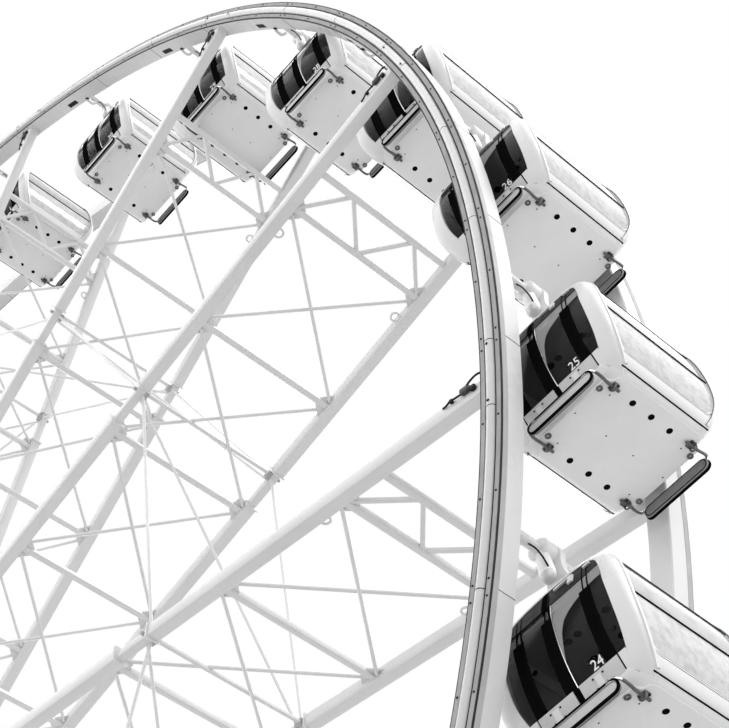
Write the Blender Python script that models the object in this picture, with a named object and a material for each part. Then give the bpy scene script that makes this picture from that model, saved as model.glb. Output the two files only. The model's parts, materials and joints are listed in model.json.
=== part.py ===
"""Giant fairground wheel with two rims, fifteen spoke frames and thirty closed cabins.

Metres, +Z up. X runs along the wheel's face, Y along its axle, and the front is -Y.
The origin is on the ground, under the middle of the axle.
"""
import math

import bmesh
import bpy
from mathutils import Matrix, Vector

# Driving dimensions of the wheel
CABIN_COUNT = 30
SPOKE_COUNT = 15
PIVOT_RADIUS = 18.0
HUB_HEIGHT = 21.45
# Angle of one cabin above the horizontal through the axle, at rest
REST_ANGLE = math.radians(4.84)
SEAT_GAP = 0.0003

# Rims: box rings, one on each side of the cabins
RIM_SEGMENTS = 60
RIM_DEPTH = 0.315
RIM_HEIGHT = 0.30
RIM_CENTRE_Y = 1.23

# Spoke frames: two chords joined by struts, with a braced bay next to the rim
CHORD_SIZE = 0.18
STRUT_RADII = (16.20, 15.60, 13.58, 11.57, 9.38, 7.20, 5.02, 2.90)
STRUT_SIZE = 0.09
BAY_BRACE_COUNT = 4
BAY_BRACE_SIZE = 0.055

# Hub and its shaft
HUB_FLANGE_RADIUS = 1.25
HUB_FLANGE_THICKNESS = 0.30
HUB_DRUM_RADIUS = 0.62
SHAFT_RADIUS = 0.30
SHAFT_HALF_LENGTH = 2.20
BORE_RUNNING_GAP = 0.0005

# Cabin: heights are above its underside
CABIN_DROP = 2.33
# Half width, half length and height of the outer skin, from the floor edge to the roof's crown
CABIN_OUTLINE = (
    (0.60, 0.63, 0.00),
    (0.71, 0.74, 0.12),
    (0.81, 0.90, 0.55),
    (0.80, 0.88, 1.25),
    (0.64, 0.76, 1.62),
    (0.34, 0.66, 1.77),
)
CABIN_WAIST = 0.90
CABIN_WALL = 0.07
# The wall's width is less by this share at the floor and the roof than at the waist
CABIN_WALL_THINNING = 0.3
WINDOW_LENGTH = 1.36
WINDOW_SILL = 0.25
WINDOW_HEAD = 1.40
WINDOW_REACH = 0.30
HANGER_Y = 0.52
HANGER_WIDTH = 0.26
HANGER_THICKNESS = 0.08
HANGER_RISE = 0.112
AXLE_RADIUS = 0.07
AXLE_SIDES = 6
BUMPER_REACH = 0.90
BUMPER_HALF_WIDTH = 0.45
BUMPER_SIZE = 0.09
BUMPER_ARM = 0.06
BUMPER_ROOT_Y = 0.52
BUMPER_DROP = 0.06
BUMPER_RISE = 0.04

# Stand
HOUSING_WIDTH = 1.00
HOUSING_HEIGHT = 1.00
HOUSING_DEPTH = 0.46
HOUSING_Y = 1.96
LEG_FOOT_X = 8.60
LEG_FOOT_Y = 5.40
LEG_WIDTH = 0.62
LEG_DEPTH = 0.44
BASE_BEAM_LENGTH = 20.0
BASE_BEAM_WIDTH = 0.60
BASE_BEAM_HEIGHT = 0.50

# Boarding platforms, one on each side of the lowest cabin
PLATFORM_TOP = 1.20
PLATFORM_HALF_LENGTH = 4.20
PLATFORM_INNER_Y = 1.08
PLATFORM_OUTER_Y = 5.45
DECK_THICKNESS = 0.14
POST_SIZE = 0.14
POST_INSET = 0.21
RAIL_HEIGHT = 1.10
RAIL_POST_SIZE = 0.06
HANDRAIL_HEIGHT = 0.06
HANDRAIL_WIDTH = 0.072
HANDRAIL_SHORTFALL = 0.01
# The end rails' first posts stand back from the wheel, and their last ones from the stairs
END_RAIL_SETBACK = 0.40
END_RAIL_STAIR_GAP = 0.10
STAIR_WIDTH = 1.80
STAIR_NEAR_Y = 2.70
STEP_COUNT = 6
STEP_RUN = 0.30
# Each step laps into the one before it, and is a little narrower than that one
STEP_LAP = 0.02
STEP_TAPER = 0.001
# A block under each end of the deck carries the stairs, and the first step laps into it
STAIR_BLOCK_INSET = 0.12
STAIR_BLOCK_COVER = 0.04
FIRST_STEP_LAP = 0.08


def clear_scene():
    """Remove every object that the file starts with."""
    for item in list(bpy.data.objects):
        bpy.data.objects.remove(item, do_unlink=True)


def material(name, colour, roughness, metallic=0.0):
    """Return a Principled material with the part's colour, roughness and metal value."""
    finish = bpy.data.materials.new(name)
    finish.use_nodes = True
    shader = finish.node_tree.nodes["Principled BSDF"]
    shader.inputs["Base Color"].default_value = (*colour, 1.0)
    shader.inputs["Roughness"].default_value = roughness
    shader.inputs["Metallic"].default_value = metallic
    return finish


def new_object(name, mesh, finish=None):
    """Put a mesh into the scene as a named object."""
    item = bpy.data.objects.new(name, mesh)
    bpy.context.scene.collection.objects.link(item)
    if finish is not None and not mesh.materials:
        mesh.materials.append(finish)
    return item


def mesh_from(name, points, faces):
    """Make a closed mesh from points and faces, with its faces turned outwards."""
    mesh = bpy.data.meshes.new(name)
    mesh.from_pydata([tuple(point) for point in points], [], faces)
    work = bmesh.new()
    work.from_mesh(mesh)
    bmesh.ops.recalc_face_normals(work, faces=work.faces)
    work.to_mesh(mesh)
    work.free()
    return mesh


def box_mesh(name, low, high):
    """Make a box between two corners."""
    middle = (Vector(low) + Vector(high)) / 2
    size = Vector(high) - Vector(low)
    work = bmesh.new()
    bmesh.ops.create_cube(work, size=1.0, matrix=Matrix.Translation(middle) @ Matrix.Diagonal((*size, 1.0)))
    mesh = bpy.data.meshes.new(name)
    work.to_mesh(mesh)
    work.free()
    return mesh


def bar_mesh(name, start, end, width, depth, side):
    """Make a straight bar of rectangular section; width is measured along the side vector."""
    start, end = Vector(start), Vector(end)
    along = (end - start).normalized()
    across = Vector(side) - along * along.dot(Vector(side))
    across.normalize()
    other = along.cross(across)
    corners = []
    for point in (start, end):
        for a, b in ((-1, -1), (1, -1), (1, 1), (-1, 1)):
            corners.append(point + across * (a * width / 2) + other * (b * depth / 2))
    faces = [(0, 1, 2, 3), (4, 5, 6, 7)]
    faces += [(i, (i + 1) % 4, (i + 1) % 4 + 4, i + 4) for i in range(4)]
    return mesh_from(name, corners, faces)


def round_mesh(name, radius, low_y, high_y, sides, turn=0.0):
    """Make a round bar along Y, centred on the Y axis."""
    points = []
    for y in (low_y, high_y):
        for i in range(sides):
            angle = turn + 2 * math.pi * i / sides
            points.append((radius * math.cos(angle), y, radius * math.sin(angle)))
    faces = [tuple(range(sides)), tuple(range(sides, 2 * sides))]
    faces += [(i, (i + 1) % sides, (i + 1) % sides + sides, i + sides) for i in range(sides)]
    return mesh_from(name, points, faces)


def combine(name, base, others, operation="UNION"):
    """Join meshes to a base mesh, or cut them from it, and return the finished mesh."""
    subject = new_object(name + "_subject", base)
    tools = [new_object(f"{name}_tool_{i}", mesh) for i, mesh in enumerate(others)]
    for tool in tools:
        step = subject.modifiers.new("join", "BOOLEAN")
        step.operation = operation
        step.solver = "EXACT"
        step.object = tool
    bpy.context.view_layer.update()
    graph = bpy.context.evaluated_depsgraph_get()
    result = bpy.data.meshes.new_from_object(subject.evaluated_get(graph))
    result.name = name
    for item in [subject] + tools:
        bpy.data.objects.remove(item, do_unlink=True)
    work = bmesh.new()
    work.from_mesh(result)
    bmesh.ops.dissolve_limit(work, angle_limit=math.radians(0.1), verts=work.verts, edges=work.edges)
    bmesh.ops.triangulate(work, faces=work.faces)
    work.to_mesh(result)
    work.free()
    result.materials.clear()
    return result


def wheel_direction(angle):
    """Return the direction from the axle at an angle above +X, seen from the front."""
    return Vector((math.cos(angle), 0.0, math.sin(angle)))


def hub_point():
    """Return the middle of the axle."""
    return Vector((0.0, 0.0, HUB_HEIGHT))


def cabin_angle(number):
    """Return the angle of a cabin's pivot; cabin 1 is just above the horizontal at +X."""
    return REST_ANGLE + (number - 1) * 2 * math.pi / CABIN_COUNT


def spoke_angle(number):
    """Return the angle of a spoke frame, midway between two cabins."""
    half_step = math.pi / CABIN_COUNT
    return REST_ANGLE + half_step + (number - 1) * 2 * math.pi / SPOKE_COUNT


def rim(name, side, finish):
    """Make one rim: a box ring whose flats face the spoke ends and the cabin pivots."""
    inner = PIVOT_RADIUS - RIM_HEIGHT / 2
    outer = PIVOT_RADIUS + RIM_HEIGHT / 2
    low_y = side * RIM_CENTRE_Y - RIM_DEPTH / 2
    high_y = side * RIM_CENTRE_Y + RIM_DEPTH / 2
    profile = ((inner, low_y), (outer, low_y), (outer, high_y), (inner, high_y))
    turn = spoke_angle(1) + math.pi / RIM_SEGMENTS
    points = []
    for i in range(RIM_SEGMENTS):
        ray = wheel_direction(turn + 2 * math.pi * i / RIM_SEGMENTS)
        points += [ray * radius + Vector((0, y, 0)) for radius, y in profile]
    count = len(points)
    faces = []
    for i in range(RIM_SEGMENTS):
        for j in range(4):
            here, after = 4 * i + j, 4 * i + (j + 1) % 4
            faces.append((here, after, (after + 4) % count, (here + 4) % count))
    ring = new_object(name, mesh_from(name, points, faces), finish)
    ring.location = hub_point()
    return ring


def spoke_frame_mesh():
    """Make a spoke frame that points along +X, with its chords at the rims' middles."""
    flat_radius = (PIVOT_RADIUS - RIM_HEIGHT / 2) * math.cos(math.pi / RIM_SEGMENTS)
    start = HUB_FLANGE_RADIUS + SEAT_GAP
    end = flat_radius - SEAT_GAP
    chords = []
    for side in (-1, 1):
        y = side * RIM_CENTRE_Y
        chords.append(bar_mesh("chord", (start, y, 0), (end, y, 0), CHORD_SIZE, CHORD_SIZE, (0, 1, 0)))
    bars = []
    for radius in STRUT_RADII:
        ends = (radius, -RIM_CENTRE_Y, 0), (radius, RIM_CENTRE_Y, 0)
        bars.append(bar_mesh("strut", *ends, STRUT_SIZE, STRUT_SIZE, (1, 0, 0)))
    outer, inner = STRUT_RADII[0], STRUT_RADII[1]
    corner = RIM_CENTRE_Y - CHORD_SIZE / 2
    stops = [-corner + i * 2 * corner / BAY_BRACE_COUNT for i in range(BAY_BRACE_COUNT + 1)]
    for i in range(BAY_BRACE_COUNT):
        radii = (inner, outer) if i % 2 == 0 else (outer, inner)
        ends = (radii[0], stops[i], 0), (radii[1], stops[i + 1], 0)
        bars.append(bar_mesh("brace", *ends, BAY_BRACE_SIZE, BAY_BRACE_SIZE, (1, 1, 0)))
    return combine("spoke_frame", chords[0], bars[:1] + [chords[1]] + bars[1:])


def hub(name, finish):
    """Make the hub: a shaft and a drum with two flanges whose flats seat the chords."""
    sides = SPOKE_COUNT
    flat_to_corner = 1 / math.cos(math.pi / sides)
    flange_in = RIM_CENTRE_Y - HUB_FLANGE_THICKNESS / 2
    flange_out = RIM_CENTRE_Y + HUB_FLANGE_THICKNESS / 2
    profile = (
        (SHAFT_RADIUS, -SHAFT_HALF_LENGTH),
        (SHAFT_RADIUS, -flange_out),
        (HUB_FLANGE_RADIUS * flat_to_corner, -flange_out),
        (HUB_FLANGE_RADIUS * flat_to_corner, -flange_in),
        (HUB_DRUM_RADIUS, -flange_in),
        (HUB_DRUM_RADIUS, flange_in),
        (HUB_FLANGE_RADIUS * flat_to_corner, flange_in),
        (HUB_FLANGE_RADIUS * flat_to_corner, flange_out),
        (SHAFT_RADIUS, flange_out),
        (SHAFT_RADIUS, SHAFT_HALF_LENGTH),
    )
    points = []
    for radius, y in profile:
        for i in range(sides):
            ray = wheel_direction(spoke_angle(1) + math.pi / sides + 2 * math.pi * i / sides)
            points.append(ray * radius + Vector((0, y, 0)))
    faces = [tuple(range(sides)), tuple(range(len(points) - sides, len(points)))]
    for ring in range(len(profile) - 1):
        for i in range(sides):
            a, b = ring * sides + i, ring * sides + (i + 1) % sides
            faces.append((a, b, b + sides, a + sides))
    item = new_object(name, mesh_from(name, points, faces), finish)
    item.location = hub_point()
    return item


def cabin_shell_mesh():
    """Make the cabin's skin: floor, sides and roof, open at both ends, windows uncut."""
    right = [Vector((x, y, z)) for x, y, z in CABIN_OUTLINE]
    outline = right + [Vector((-p.x, p.y, p.z)) for p in reversed(right)]
    count = len(outline)
    inner = []
    for point in outline:
        steep = (point.z - CABIN_WAIST) / CABIN_WAIST
        inward_x = math.copysign(CABIN_WALL * (1 - CABIN_WALL_THINNING * abs(steep)), point.x)
        inner.append(Vector((point.x - inward_x, point.y, point.z - CABIN_WALL * steep)))
    points = []
    for ring in (outline, inner):
        for side in (-1, 1):
            points += [Vector((p.x, side * p.y, p.z)) for p in ring]
    faces = []
    for i in range(count):
        j = (i + 1) % count
        faces.append((i, j, j + count, i + count))
        faces.append((i + 2 * count, j + 2 * count, j + 3 * count, i + 3 * count))
        faces.append((i, j, j + 2 * count, i + 2 * count))
        faces.append((i + count, j + count, j + 3 * count, i + 3 * count))
    return mesh_from("cabin_shell", points, faces)


def bumper_mesh(side):
    """Make a U-shaped bumper that reaches out from under one end of the cabin's floor."""
    half, arm = BUMPER_HALF_WIDTH, BUMPER_ARM
    root, tip = BUMPER_ROOT_Y, BUMPER_REACH
    outline = ((-half, root), (-half, tip), (half, tip), (half, root))
    outline += ((half - arm, root), (half - arm, tip - BUMPER_SIZE))
    outline += ((arm - half, tip - BUMPER_SIZE), (arm - half, root))
    count = len(outline)
    points = [(x, side * y, z) for z in (-BUMPER_DROP, BUMPER_RISE) for x, y in outline]
    faces = [tuple(range(count)), tuple(range(count, 2 * count))]
    faces += [(i, (i + 1) % count, (i + 1) % count + count, i + count) for i in range(count)]
    return mesh_from("bumper", points, faces)


def cabin_mesh():
    """Make a whole cabin with its pivot at the origin: skin, hanger, axle and bumpers."""
    half = CABIN_OUTLINE[2][0]
    windows = []
    for side in (-1, 1):
        near, far = sorted((side * (half - WINDOW_REACH), side * (half + WINDOW_REACH)))
        low = (near, -WINDOW_LENGTH / 2, WINDOW_SILL)
        windows.append(box_mesh("window", low, (far, WINDOW_LENGTH / 2, WINDOW_HEAD)))
    body = combine("cabin_cut", cabin_shell_mesh(), windows, "DIFFERENCE")
    additions = []
    roof = CABIN_OUTLINE[-1][2] - CABIN_WALL / 2
    for side in (-1, 1):
        y = side * HANGER_Y
        low = (-HANGER_WIDTH / 2, y - HANGER_THICKNESS / 2, roof)
        high = (HANGER_WIDTH / 2, y + HANGER_THICKNESS / 2, CABIN_DROP + HANGER_RISE)
        additions.append(box_mesh("hanger", low, high))
    axle_end = RIM_CENTRE_Y - RIM_DEPTH / 2 - SEAT_GAP
    for side in (-1, 1):
        ends = sorted((side * HANGER_Y, side * axle_end))
        axle = round_mesh("axle", AXLE_RADIUS, *ends, AXLE_SIDES)
        axle.transform(Matrix.Translation((0, 0, CABIN_DROP)))
        additions.append(axle)
        additions.append(bumper_mesh(side))
    whole = combine("cabin", body, additions)
    whole.transform(Matrix.Translation((0, 0, -CABIN_DROP)))
    return whole


def housing(name, side, finish):
    """Make a bearing housing with a bore for the shaft."""
    low = (-HOUSING_WIDTH / 2, -HOUSING_DEPTH / 2, -HOUSING_HEIGHT / 2)
    high = (HOUSING_WIDTH / 2, HOUSING_DEPTH / 2, HOUSING_HEIGHT / 2)
    sides = 24
    bore_radius = (SHAFT_RADIUS + BORE_RUNNING_GAP) / math.cos(math.pi / sides)
    bore = round_mesh("bore", bore_radius, -HOUSING_DEPTH, HOUSING_DEPTH, sides)
    mesh = combine(name, box_mesh(name, low, high), [bore], "DIFFERENCE")
    item = new_object(name, mesh, finish)
    item.location = hub_point() + Vector((0, side * HOUSING_Y, 0))
    return item


def leg(name, across, side, finish):
    """Make a leg from a base beam up to the side of a bearing housing."""
    foot_z = BASE_BEAM_HEIGHT + SEAT_GAP
    top_x = HOUSING_WIDTH / 2 + SEAT_GAP
    points = []
    for end_y in (-LEG_DEPTH / 2, LEG_DEPTH / 2):
        foot_y = side * LEG_FOOT_Y + end_y
        top_y = side * HOUSING_Y + end_y
        points.append((across * (LEG_FOOT_X + LEG_WIDTH / 2), foot_y, foot_z))
        points.append((across * (LEG_FOOT_X - LEG_WIDTH / 2), foot_y, foot_z))
        points.append((across * top_x, top_y, HUB_HEIGHT - HOUSING_HEIGHT / 2))
        points.append((across * top_x, top_y, HUB_HEIGHT + HOUSING_HEIGHT / 2))
    faces = [(0, 1, 2, 3), (4, 5, 6, 7)]
    faces += [(i, (i + 1) % 4, (i + 1) % 4 + 4, i + 4) for i in range(4)]
    return new_object(name, mesh_from(name, points, faces), finish)


def base_beam(name, side, finish):
    """Make a long beam on the ground under the two legs of one side."""
    y = side * LEG_FOOT_Y
    low = (-BASE_BEAM_LENGTH / 2, y - BASE_BEAM_WIDTH / 2, 0.0)
    high = (BASE_BEAM_LENGTH / 2, y + BASE_BEAM_WIDTH / 2, BASE_BEAM_HEIGHT)
    return new_object(name, box_mesh(name, low, high), finish)


def cross_beam(name, across, finish):
    """Make a beam between the two long base beams."""
    reach = LEG_FOOT_Y - BASE_BEAM_WIDTH / 2 - SEAT_GAP
    x = across * LEG_FOOT_X
    low = (x - BASE_BEAM_WIDTH / 2, -reach, 0.0)
    high = (x + BASE_BEAM_WIDTH / 2, reach, BASE_BEAM_HEIGHT)
    return new_object(name, box_mesh(name, low, high), finish)


def platform(name, side, finish):
    """Make a boarding platform, its outer posts on the base beam, with stairs at both ends."""
    def span(low, high):
        """Return a box between two corners, mirrored to this side."""
        ends = sorted((side * low[1], side * high[1]))
        return box_mesh("piece", (low[0], ends[0], low[2]), (high[0], ends[1], high[2]))

    half = PLATFORM_HALF_LENGTH
    deck_low = PLATFORM_TOP - DECK_THICKNESS
    deck_middle = PLATFORM_TOP - DECK_THICKNESS / 2
    deck = span((-half, PLATFORM_INNER_Y, deck_low), (half, PLATFORM_OUTER_Y, PLATFORM_TOP))
    pieces = []

    beam_seat = BASE_BEAM_HEIGHT + SEAT_GAP
    for x in (-half + POST_INSET, 0.0, half - POST_INSET):
        for y, foot_z in ((PLATFORM_INNER_Y + POST_INSET, 0.0), (PLATFORM_OUTER_Y - POST_INSET, beam_seat)):
            low = (x - POST_SIZE / 2, y - POST_SIZE / 2, foot_z)
            pieces.append(span(low, (x + POST_SIZE / 2, y + POST_SIZE / 2, deck_middle)))

    rail_top = PLATFORM_TOP + RAIL_HEIGHT
    rail_low = rail_top - HANDRAIL_HEIGHT
    edge = half - RAIL_POST_SIZE
    outer_y = PLATFORM_OUTER_Y - RAIL_POST_SIZE
    first_y = PLATFORM_INNER_Y + END_RAIL_SETBACK
    last_y = STAIR_NEAR_Y - END_RAIL_STAIR_GAP
    rail_posts = [(x, outer_y) for x in (-edge, -edge / 3, edge / 3, edge)]
    for across in (-1, 1):
        rail_posts += [(across * edge, first_y), (across * edge, last_y)]
        low = (across * edge - HANDRAIL_WIDTH / 2, first_y - RAIL_POST_SIZE, rail_low)
        pieces.append(span(low, (across * edge + HANDRAIL_WIDTH / 2, last_y + RAIL_POST_SIZE, rail_top)))
    for x, y in rail_posts:
        low = (x - RAIL_POST_SIZE / 2, y - RAIL_POST_SIZE / 2, deck_middle)
        high = (x + RAIL_POST_SIZE / 2, y + RAIL_POST_SIZE / 2, rail_top - HANDRAIL_HEIGHT / 2)
        pieces.append(span(low, high))
    long_rail = half - HANDRAIL_SHORTFALL
    low = (-long_rail, outer_y - HANDRAIL_WIDTH / 2, rail_low)
    pieces.append(span(low, (long_rail, outer_y + HANDRAIL_WIDTH / 2, rail_top)))

    step_rise = PLATFORM_TOP / (STEP_COUNT + 1)
    blocks = [(half - STAIR_BLOCK_INSET, half - STAIR_BLOCK_COVER, deck_middle)]
    for step in range(1, STEP_COUNT + 1):
        lap = FIRST_STEP_LAP if step == 1 else STEP_LAP
        near = half + (step - 1) * STEP_RUN - lap
        blocks.append((near, half + step * STEP_RUN, PLATFORM_TOP - step * step_rise))
    for across in (-1, 1):
        for place, (near, far, top) in enumerate(blocks):
            ends = sorted((across * near, across * far))
            trim = STEP_TAPER * place
            low = (ends[0], STAIR_NEAR_Y + trim, 0.0)
            pieces.append(span(low, (ends[1], STAIR_NEAR_Y + STAIR_WIDTH - trim, top)))
    return new_object(name, combine(name, deck, pieces), finish)


def main():
    """Build the whole wheel."""
    clear_scene()
    white_paint = material("white_paint", (0.86, 0.86, 0.86), 0.35)
    cabin_paint = material("cabin_paint", (0.90, 0.90, 0.90), 0.30)
    grey_paint = material("grey_paint", (0.62, 0.62, 0.62), 0.45)
    deck_metal = material("deck_metal", (0.45, 0.45, 0.46), 0.55, 0.6)

    rim("front_rim", -1, white_paint)
    rim("back_rim", 1, white_paint)
    frame_mesh = spoke_frame_mesh()
    for number in range(1, SPOKE_COUNT + 1):
        frame = new_object(f"spoke_frame_{number:02d}", frame_mesh, white_paint)
        frame.location = hub_point()
        frame.rotation_euler = (0.0, -spoke_angle(number), 0.0)
    hub("hub", white_paint)

    shell = cabin_mesh()
    for number in range(1, CABIN_COUNT + 1):
        cabin = new_object(f"cabin_{number:02d}", shell, cabin_paint)
        cabin.location = hub_point() + wheel_direction(cabin_angle(number)) * PIVOT_RADIUS

    for side, word in ((-1, "front"), (1, "back")):
        housing(f"{word}_bearing_housing", side, grey_paint)
        base_beam(f"{word}_base_beam", side, grey_paint)
        platform(f"{word}_platform", side, deck_metal)
        for across, hand in ((-1, "left"), (1, "right")):
            leg(f"{word}_{hand}_leg", across, side, white_paint)
    for across, hand in ((-1, "left"), (1, "right")):
        cross_beam(f"{hand}_cross_beam", across, grey_paint)


main()
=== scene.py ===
"""Giant fairground wheel with closed cabins, dressed over its packed model.

Metres, +Z up. X runs along the wheel's face, Y along its axle, and the front is -Y.
Every piece is built where it belongs: its object stays at the origin, unturned and unscaled.
"""
import json
from math import radians

import bpy
import numpy as np
from bpy.props import FloatProperty, FloatVectorProperty, IntProperty, PointerProperty
from bpy.types import Operator, Panel, PropertyGroup
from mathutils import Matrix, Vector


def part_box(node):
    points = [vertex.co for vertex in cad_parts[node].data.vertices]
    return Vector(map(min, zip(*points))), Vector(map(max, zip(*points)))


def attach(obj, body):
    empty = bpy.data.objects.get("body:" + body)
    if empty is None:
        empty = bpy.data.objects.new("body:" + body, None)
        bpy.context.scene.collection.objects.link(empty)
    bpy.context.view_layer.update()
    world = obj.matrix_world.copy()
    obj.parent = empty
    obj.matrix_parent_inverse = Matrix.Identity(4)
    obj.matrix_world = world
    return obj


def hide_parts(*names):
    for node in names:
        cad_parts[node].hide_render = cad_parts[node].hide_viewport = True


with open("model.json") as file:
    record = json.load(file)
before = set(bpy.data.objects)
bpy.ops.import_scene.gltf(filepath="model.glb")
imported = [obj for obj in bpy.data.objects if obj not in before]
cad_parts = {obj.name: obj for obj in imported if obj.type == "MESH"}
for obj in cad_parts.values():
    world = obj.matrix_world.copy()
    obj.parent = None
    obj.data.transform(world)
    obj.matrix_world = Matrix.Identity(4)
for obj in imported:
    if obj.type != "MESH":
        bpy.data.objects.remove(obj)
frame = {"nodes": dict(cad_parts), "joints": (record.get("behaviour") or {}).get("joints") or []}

bl_info = {
    "name": "Giant Fairground Wheel",
    "version": (1, 0, 0),
    "blender": (4, 5, 0),
    "location": "View3D > Sidebar > Fairground Wheel",
    "description": "Dresses the packed model of a giant wheel with closed cabins",
    "category": "Object",
}

TURN = 2 * np.pi
AXLE = np.array(next(joint["pos_m"] for joint in frame["joints"] if joint["name"] == "wheel_spin"), float)
SWINGS = [joint for joint in frame["joints"] if joint["child"].startswith("cabin")]
PIVOTS = {joint["child"]: np.array(joint["pos_m"], float) for joint in SWINGS}
CABINS = sorted(PIVOTS)
FRAMES = [f"spoke_frame_{n:02d}" for n in range(1, 16)]
PIVOT_RADIUS = float(np.hypot(*(PIVOTS["cabin_01"] - AXLE)[[0, 2]]))
REST_ANGLE = float(np.arctan2(*(PIVOTS["cabin_01"] - AXLE)[[2, 0]]))
CABIN_STEP = TURN / len(CABINS)
FRAME_STEP = TURN / len(FRAMES)
RIM_FACE = -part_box("front_rim")[0][1]
RIM_BACK = -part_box("front_rim")[1][1]
RIM_Y = (RIM_FACE + RIM_BACK) / 2

# Faces that meet at more than this angle keep a sharp edge
CREASE = radians(32)


def cabin_turn(number):
    """Return the angle of a cabin's pivot above +X, seen from the front."""
    return REST_ANGLE + (number - 1) * CABIN_STEP


def frame_turn(number):
    """Return the angle of a spoke frame, midway between two cabins."""
    return REST_ANGLE + CABIN_STEP / 2 + (number - 1) * FRAME_STEP


# Shapes as whole arrays

def points_of(x, y, z):
    """Stack X, Y and Z, each stretched to the same shape, into points."""
    return np.stack(np.broadcast_arrays(x, y, z), -1)


def grid_faces(rows, columns, close_rows=False, close_columns=False):
    """Number a grid's faces: (i, j), (i, j+1), (i+1, j+1), (i+1, j), going round where it closes."""
    i = np.arange(rows if close_rows else rows - 1)[:, None]
    j = np.arange(columns if close_columns else columns - 1)[None]
    after_i, after_j = (i + 1) % rows, (j + 1) % columns
    parts = (i * columns + j, i * columns + after_j, after_i * columns + after_j, after_i * columns + j)
    return np.stack([np.broadcast_to(p, (i.size, j.size)) for p in parts], -1).reshape(-1, 4)


def outward(points, faces):
    """Turn faces to point outwards: the shape's signed volume, a sum of corner products, is positive."""
    a, b, c = (points[faces[:, k]] for k in range(3))
    volume = np.einsum("ij,ij->i", a, np.cross(b, c)).sum()
    four = faces[:, 3] >= 0
    d = points[faces[four, 3]]
    volume += np.einsum("ij,ij->i", a[four], np.cross(c[four], d)).sum()
    if volume >= 0:
        return faces
    flipped = faces[:, ::-1].copy()
    flipped[~four] = faces[~four][:, [2, 1, 0, 3]]
    return flipped


class Form:
    """Gathers surfaces of one piece: their points, their faces and the finish of each face.

    Heights count from a level that lies below the piece's own origin by drop.
    """

    def __init__(self, drop=0.0):
        self.origin = np.array([0.0, 0.0, drop])
        self.points, self.faces, self.marks, self.finishes, self.count = [], [], [], [], 0

    def add(self, shape, chosen, place=(0, 0, 0)):
        """Add points and faces; point p goes to p plus place, lowered by the drop."""
        points, faces = shape
        points = np.asarray(points, float).reshape(-1, 3) + place - self.origin
        if faces.shape[1] == 3:
            faces = np.column_stack((faces, np.full(len(faces), -1)))
        faces = outward(points - points.mean(0), faces)
        if chosen not in self.finishes:
            self.finishes.append(chosen)
        self.points.append(points)
        self.faces.append(np.where(faces < 0, -1, faces + self.count))
        self.marks.append(np.full(len(faces), self.finishes.index(chosen)))
        self.count += len(points)

    def piece(self, name, body, slot, replaces=(), turn=None, place=(0, 0, 0)):
        """Make the object: its mesh holds the gathered points, turned and then moved."""
        points = np.vstack(self.points)
        faces = np.vstack(self.faces)
        if turn is not None:
            points = points @ turn.T
        points = points + place
        sizes = np.where(faces[:, 3] < 0, 3, 4)
        corners = faces.ravel()
        corners = corners[corners >= 0]
        mesh = bpy.data.meshes.new(name)
        mesh.vertices.add(len(points))
        mesh.vertices.foreach_set("co", points.astype(np.float32).ravel())
        mesh.loops.add(len(corners))
        mesh.loops.foreach_set("vertex_index", corners.astype(np.int32))
        mesh.polygons.add(len(faces))
        starts = np.cumsum(sizes) - sizes
        mesh.polygons.foreach_set("loop_start", starts.astype(np.int32))
        mesh.polygons.foreach_set("loop_total", sizes.astype(np.int32))
        for chosen in self.finishes:
            mesh.materials.append(bpy.data.materials[chosen])
        mesh.polygons.foreach_set("material_index", np.concatenate(self.marks).astype(np.int32))
        mesh.polygons.foreach_set("use_smooth", np.ones(len(faces), bool))
        mesh.update(calc_edges=True)
        mesh.set_sharp_from_angle(angle=CREASE)
        item = bpy.data.objects.new(name, mesh)
        bpy.context.scene.collection.objects.link(item)
        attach(item, body)
        if replaces:
            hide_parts(*replaces)


def unit(vectors):
    """Divide each vector by its length."""
    vectors = np.asarray(vectors, float)
    return vectors / np.linalg.norm(vectors, axis=-1, keepdims=True)


def round_profile(radius, sides=8):
    """Return a circle: (r cos a, r sin a)."""
    a = TURN * (np.arange(sides) + 0.5) / sides
    return np.stack((radius * np.cos(a), radius * np.sin(a)), -1)


def box_profile(width, depth, corner, steps=2):
    """Return a rectangle with round corners: each corner's centre plus a quarter circle."""
    a = (np.arange(4)[:, None] + np.linspace(0, 1, steps)[None]) * TURN / 4
    signs = np.array([(1, 1), (-1, 1), (-1, -1), (1, -1)])[:, None]
    centre = signs * np.array([width / 2 - corner, depth / 2 - corner])
    return (centre + corner * np.stack((np.cos(a), np.sin(a)), -1)).reshape(-1, 2)


def bars(starts, ends, profile, side=(0, 0, 1)):
    """Make straight bars: profile p, q at each end goes to end + p times side + q times (along x side)."""
    starts, ends = np.atleast_2d(starts).astype(float), np.atleast_2d(ends).astype(float)
    along = unit(ends - starts)
    side = np.broadcast_to(np.asarray(side, float), along.shape)
    side = unit(side - along * np.einsum("ij,ij->i", side, along)[:, None])
    other = np.cross(along, side)
    m = len(profile)
    ring = profile[None, :, :1] * side[:, None] + profile[None, :, 1:] * other[:, None]
    starts, ends = starts[:, None], ends[:, None]
    points = np.concatenate((starts + ring, ends + ring, starts, ends), 1)
    j = np.arange(m)
    k = (j + 1) % m
    empty = np.full(m, -1)
    walls = np.stack((j, k, k + m, j + m), -1)
    first = np.stack((k, j, np.full(m, 2 * m), empty), -1)
    last = np.stack((j + m, k + m, np.full(m, 2 * m + 1), empty), -1)
    return copies(points, np.concatenate((walls, first, last)))


def copies(points, faces):
    """Join equal shapes: the faces of shape n are numbered on by n times its points."""
    count, each = points.shape[:2]
    shift = (np.arange(count) * each)[:, None, None]
    joined = np.where(faces[None] < 0, -1, faces[None] + shift)
    return points.reshape(-1, 3), joined.reshape(-1, faces.shape[1])


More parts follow.
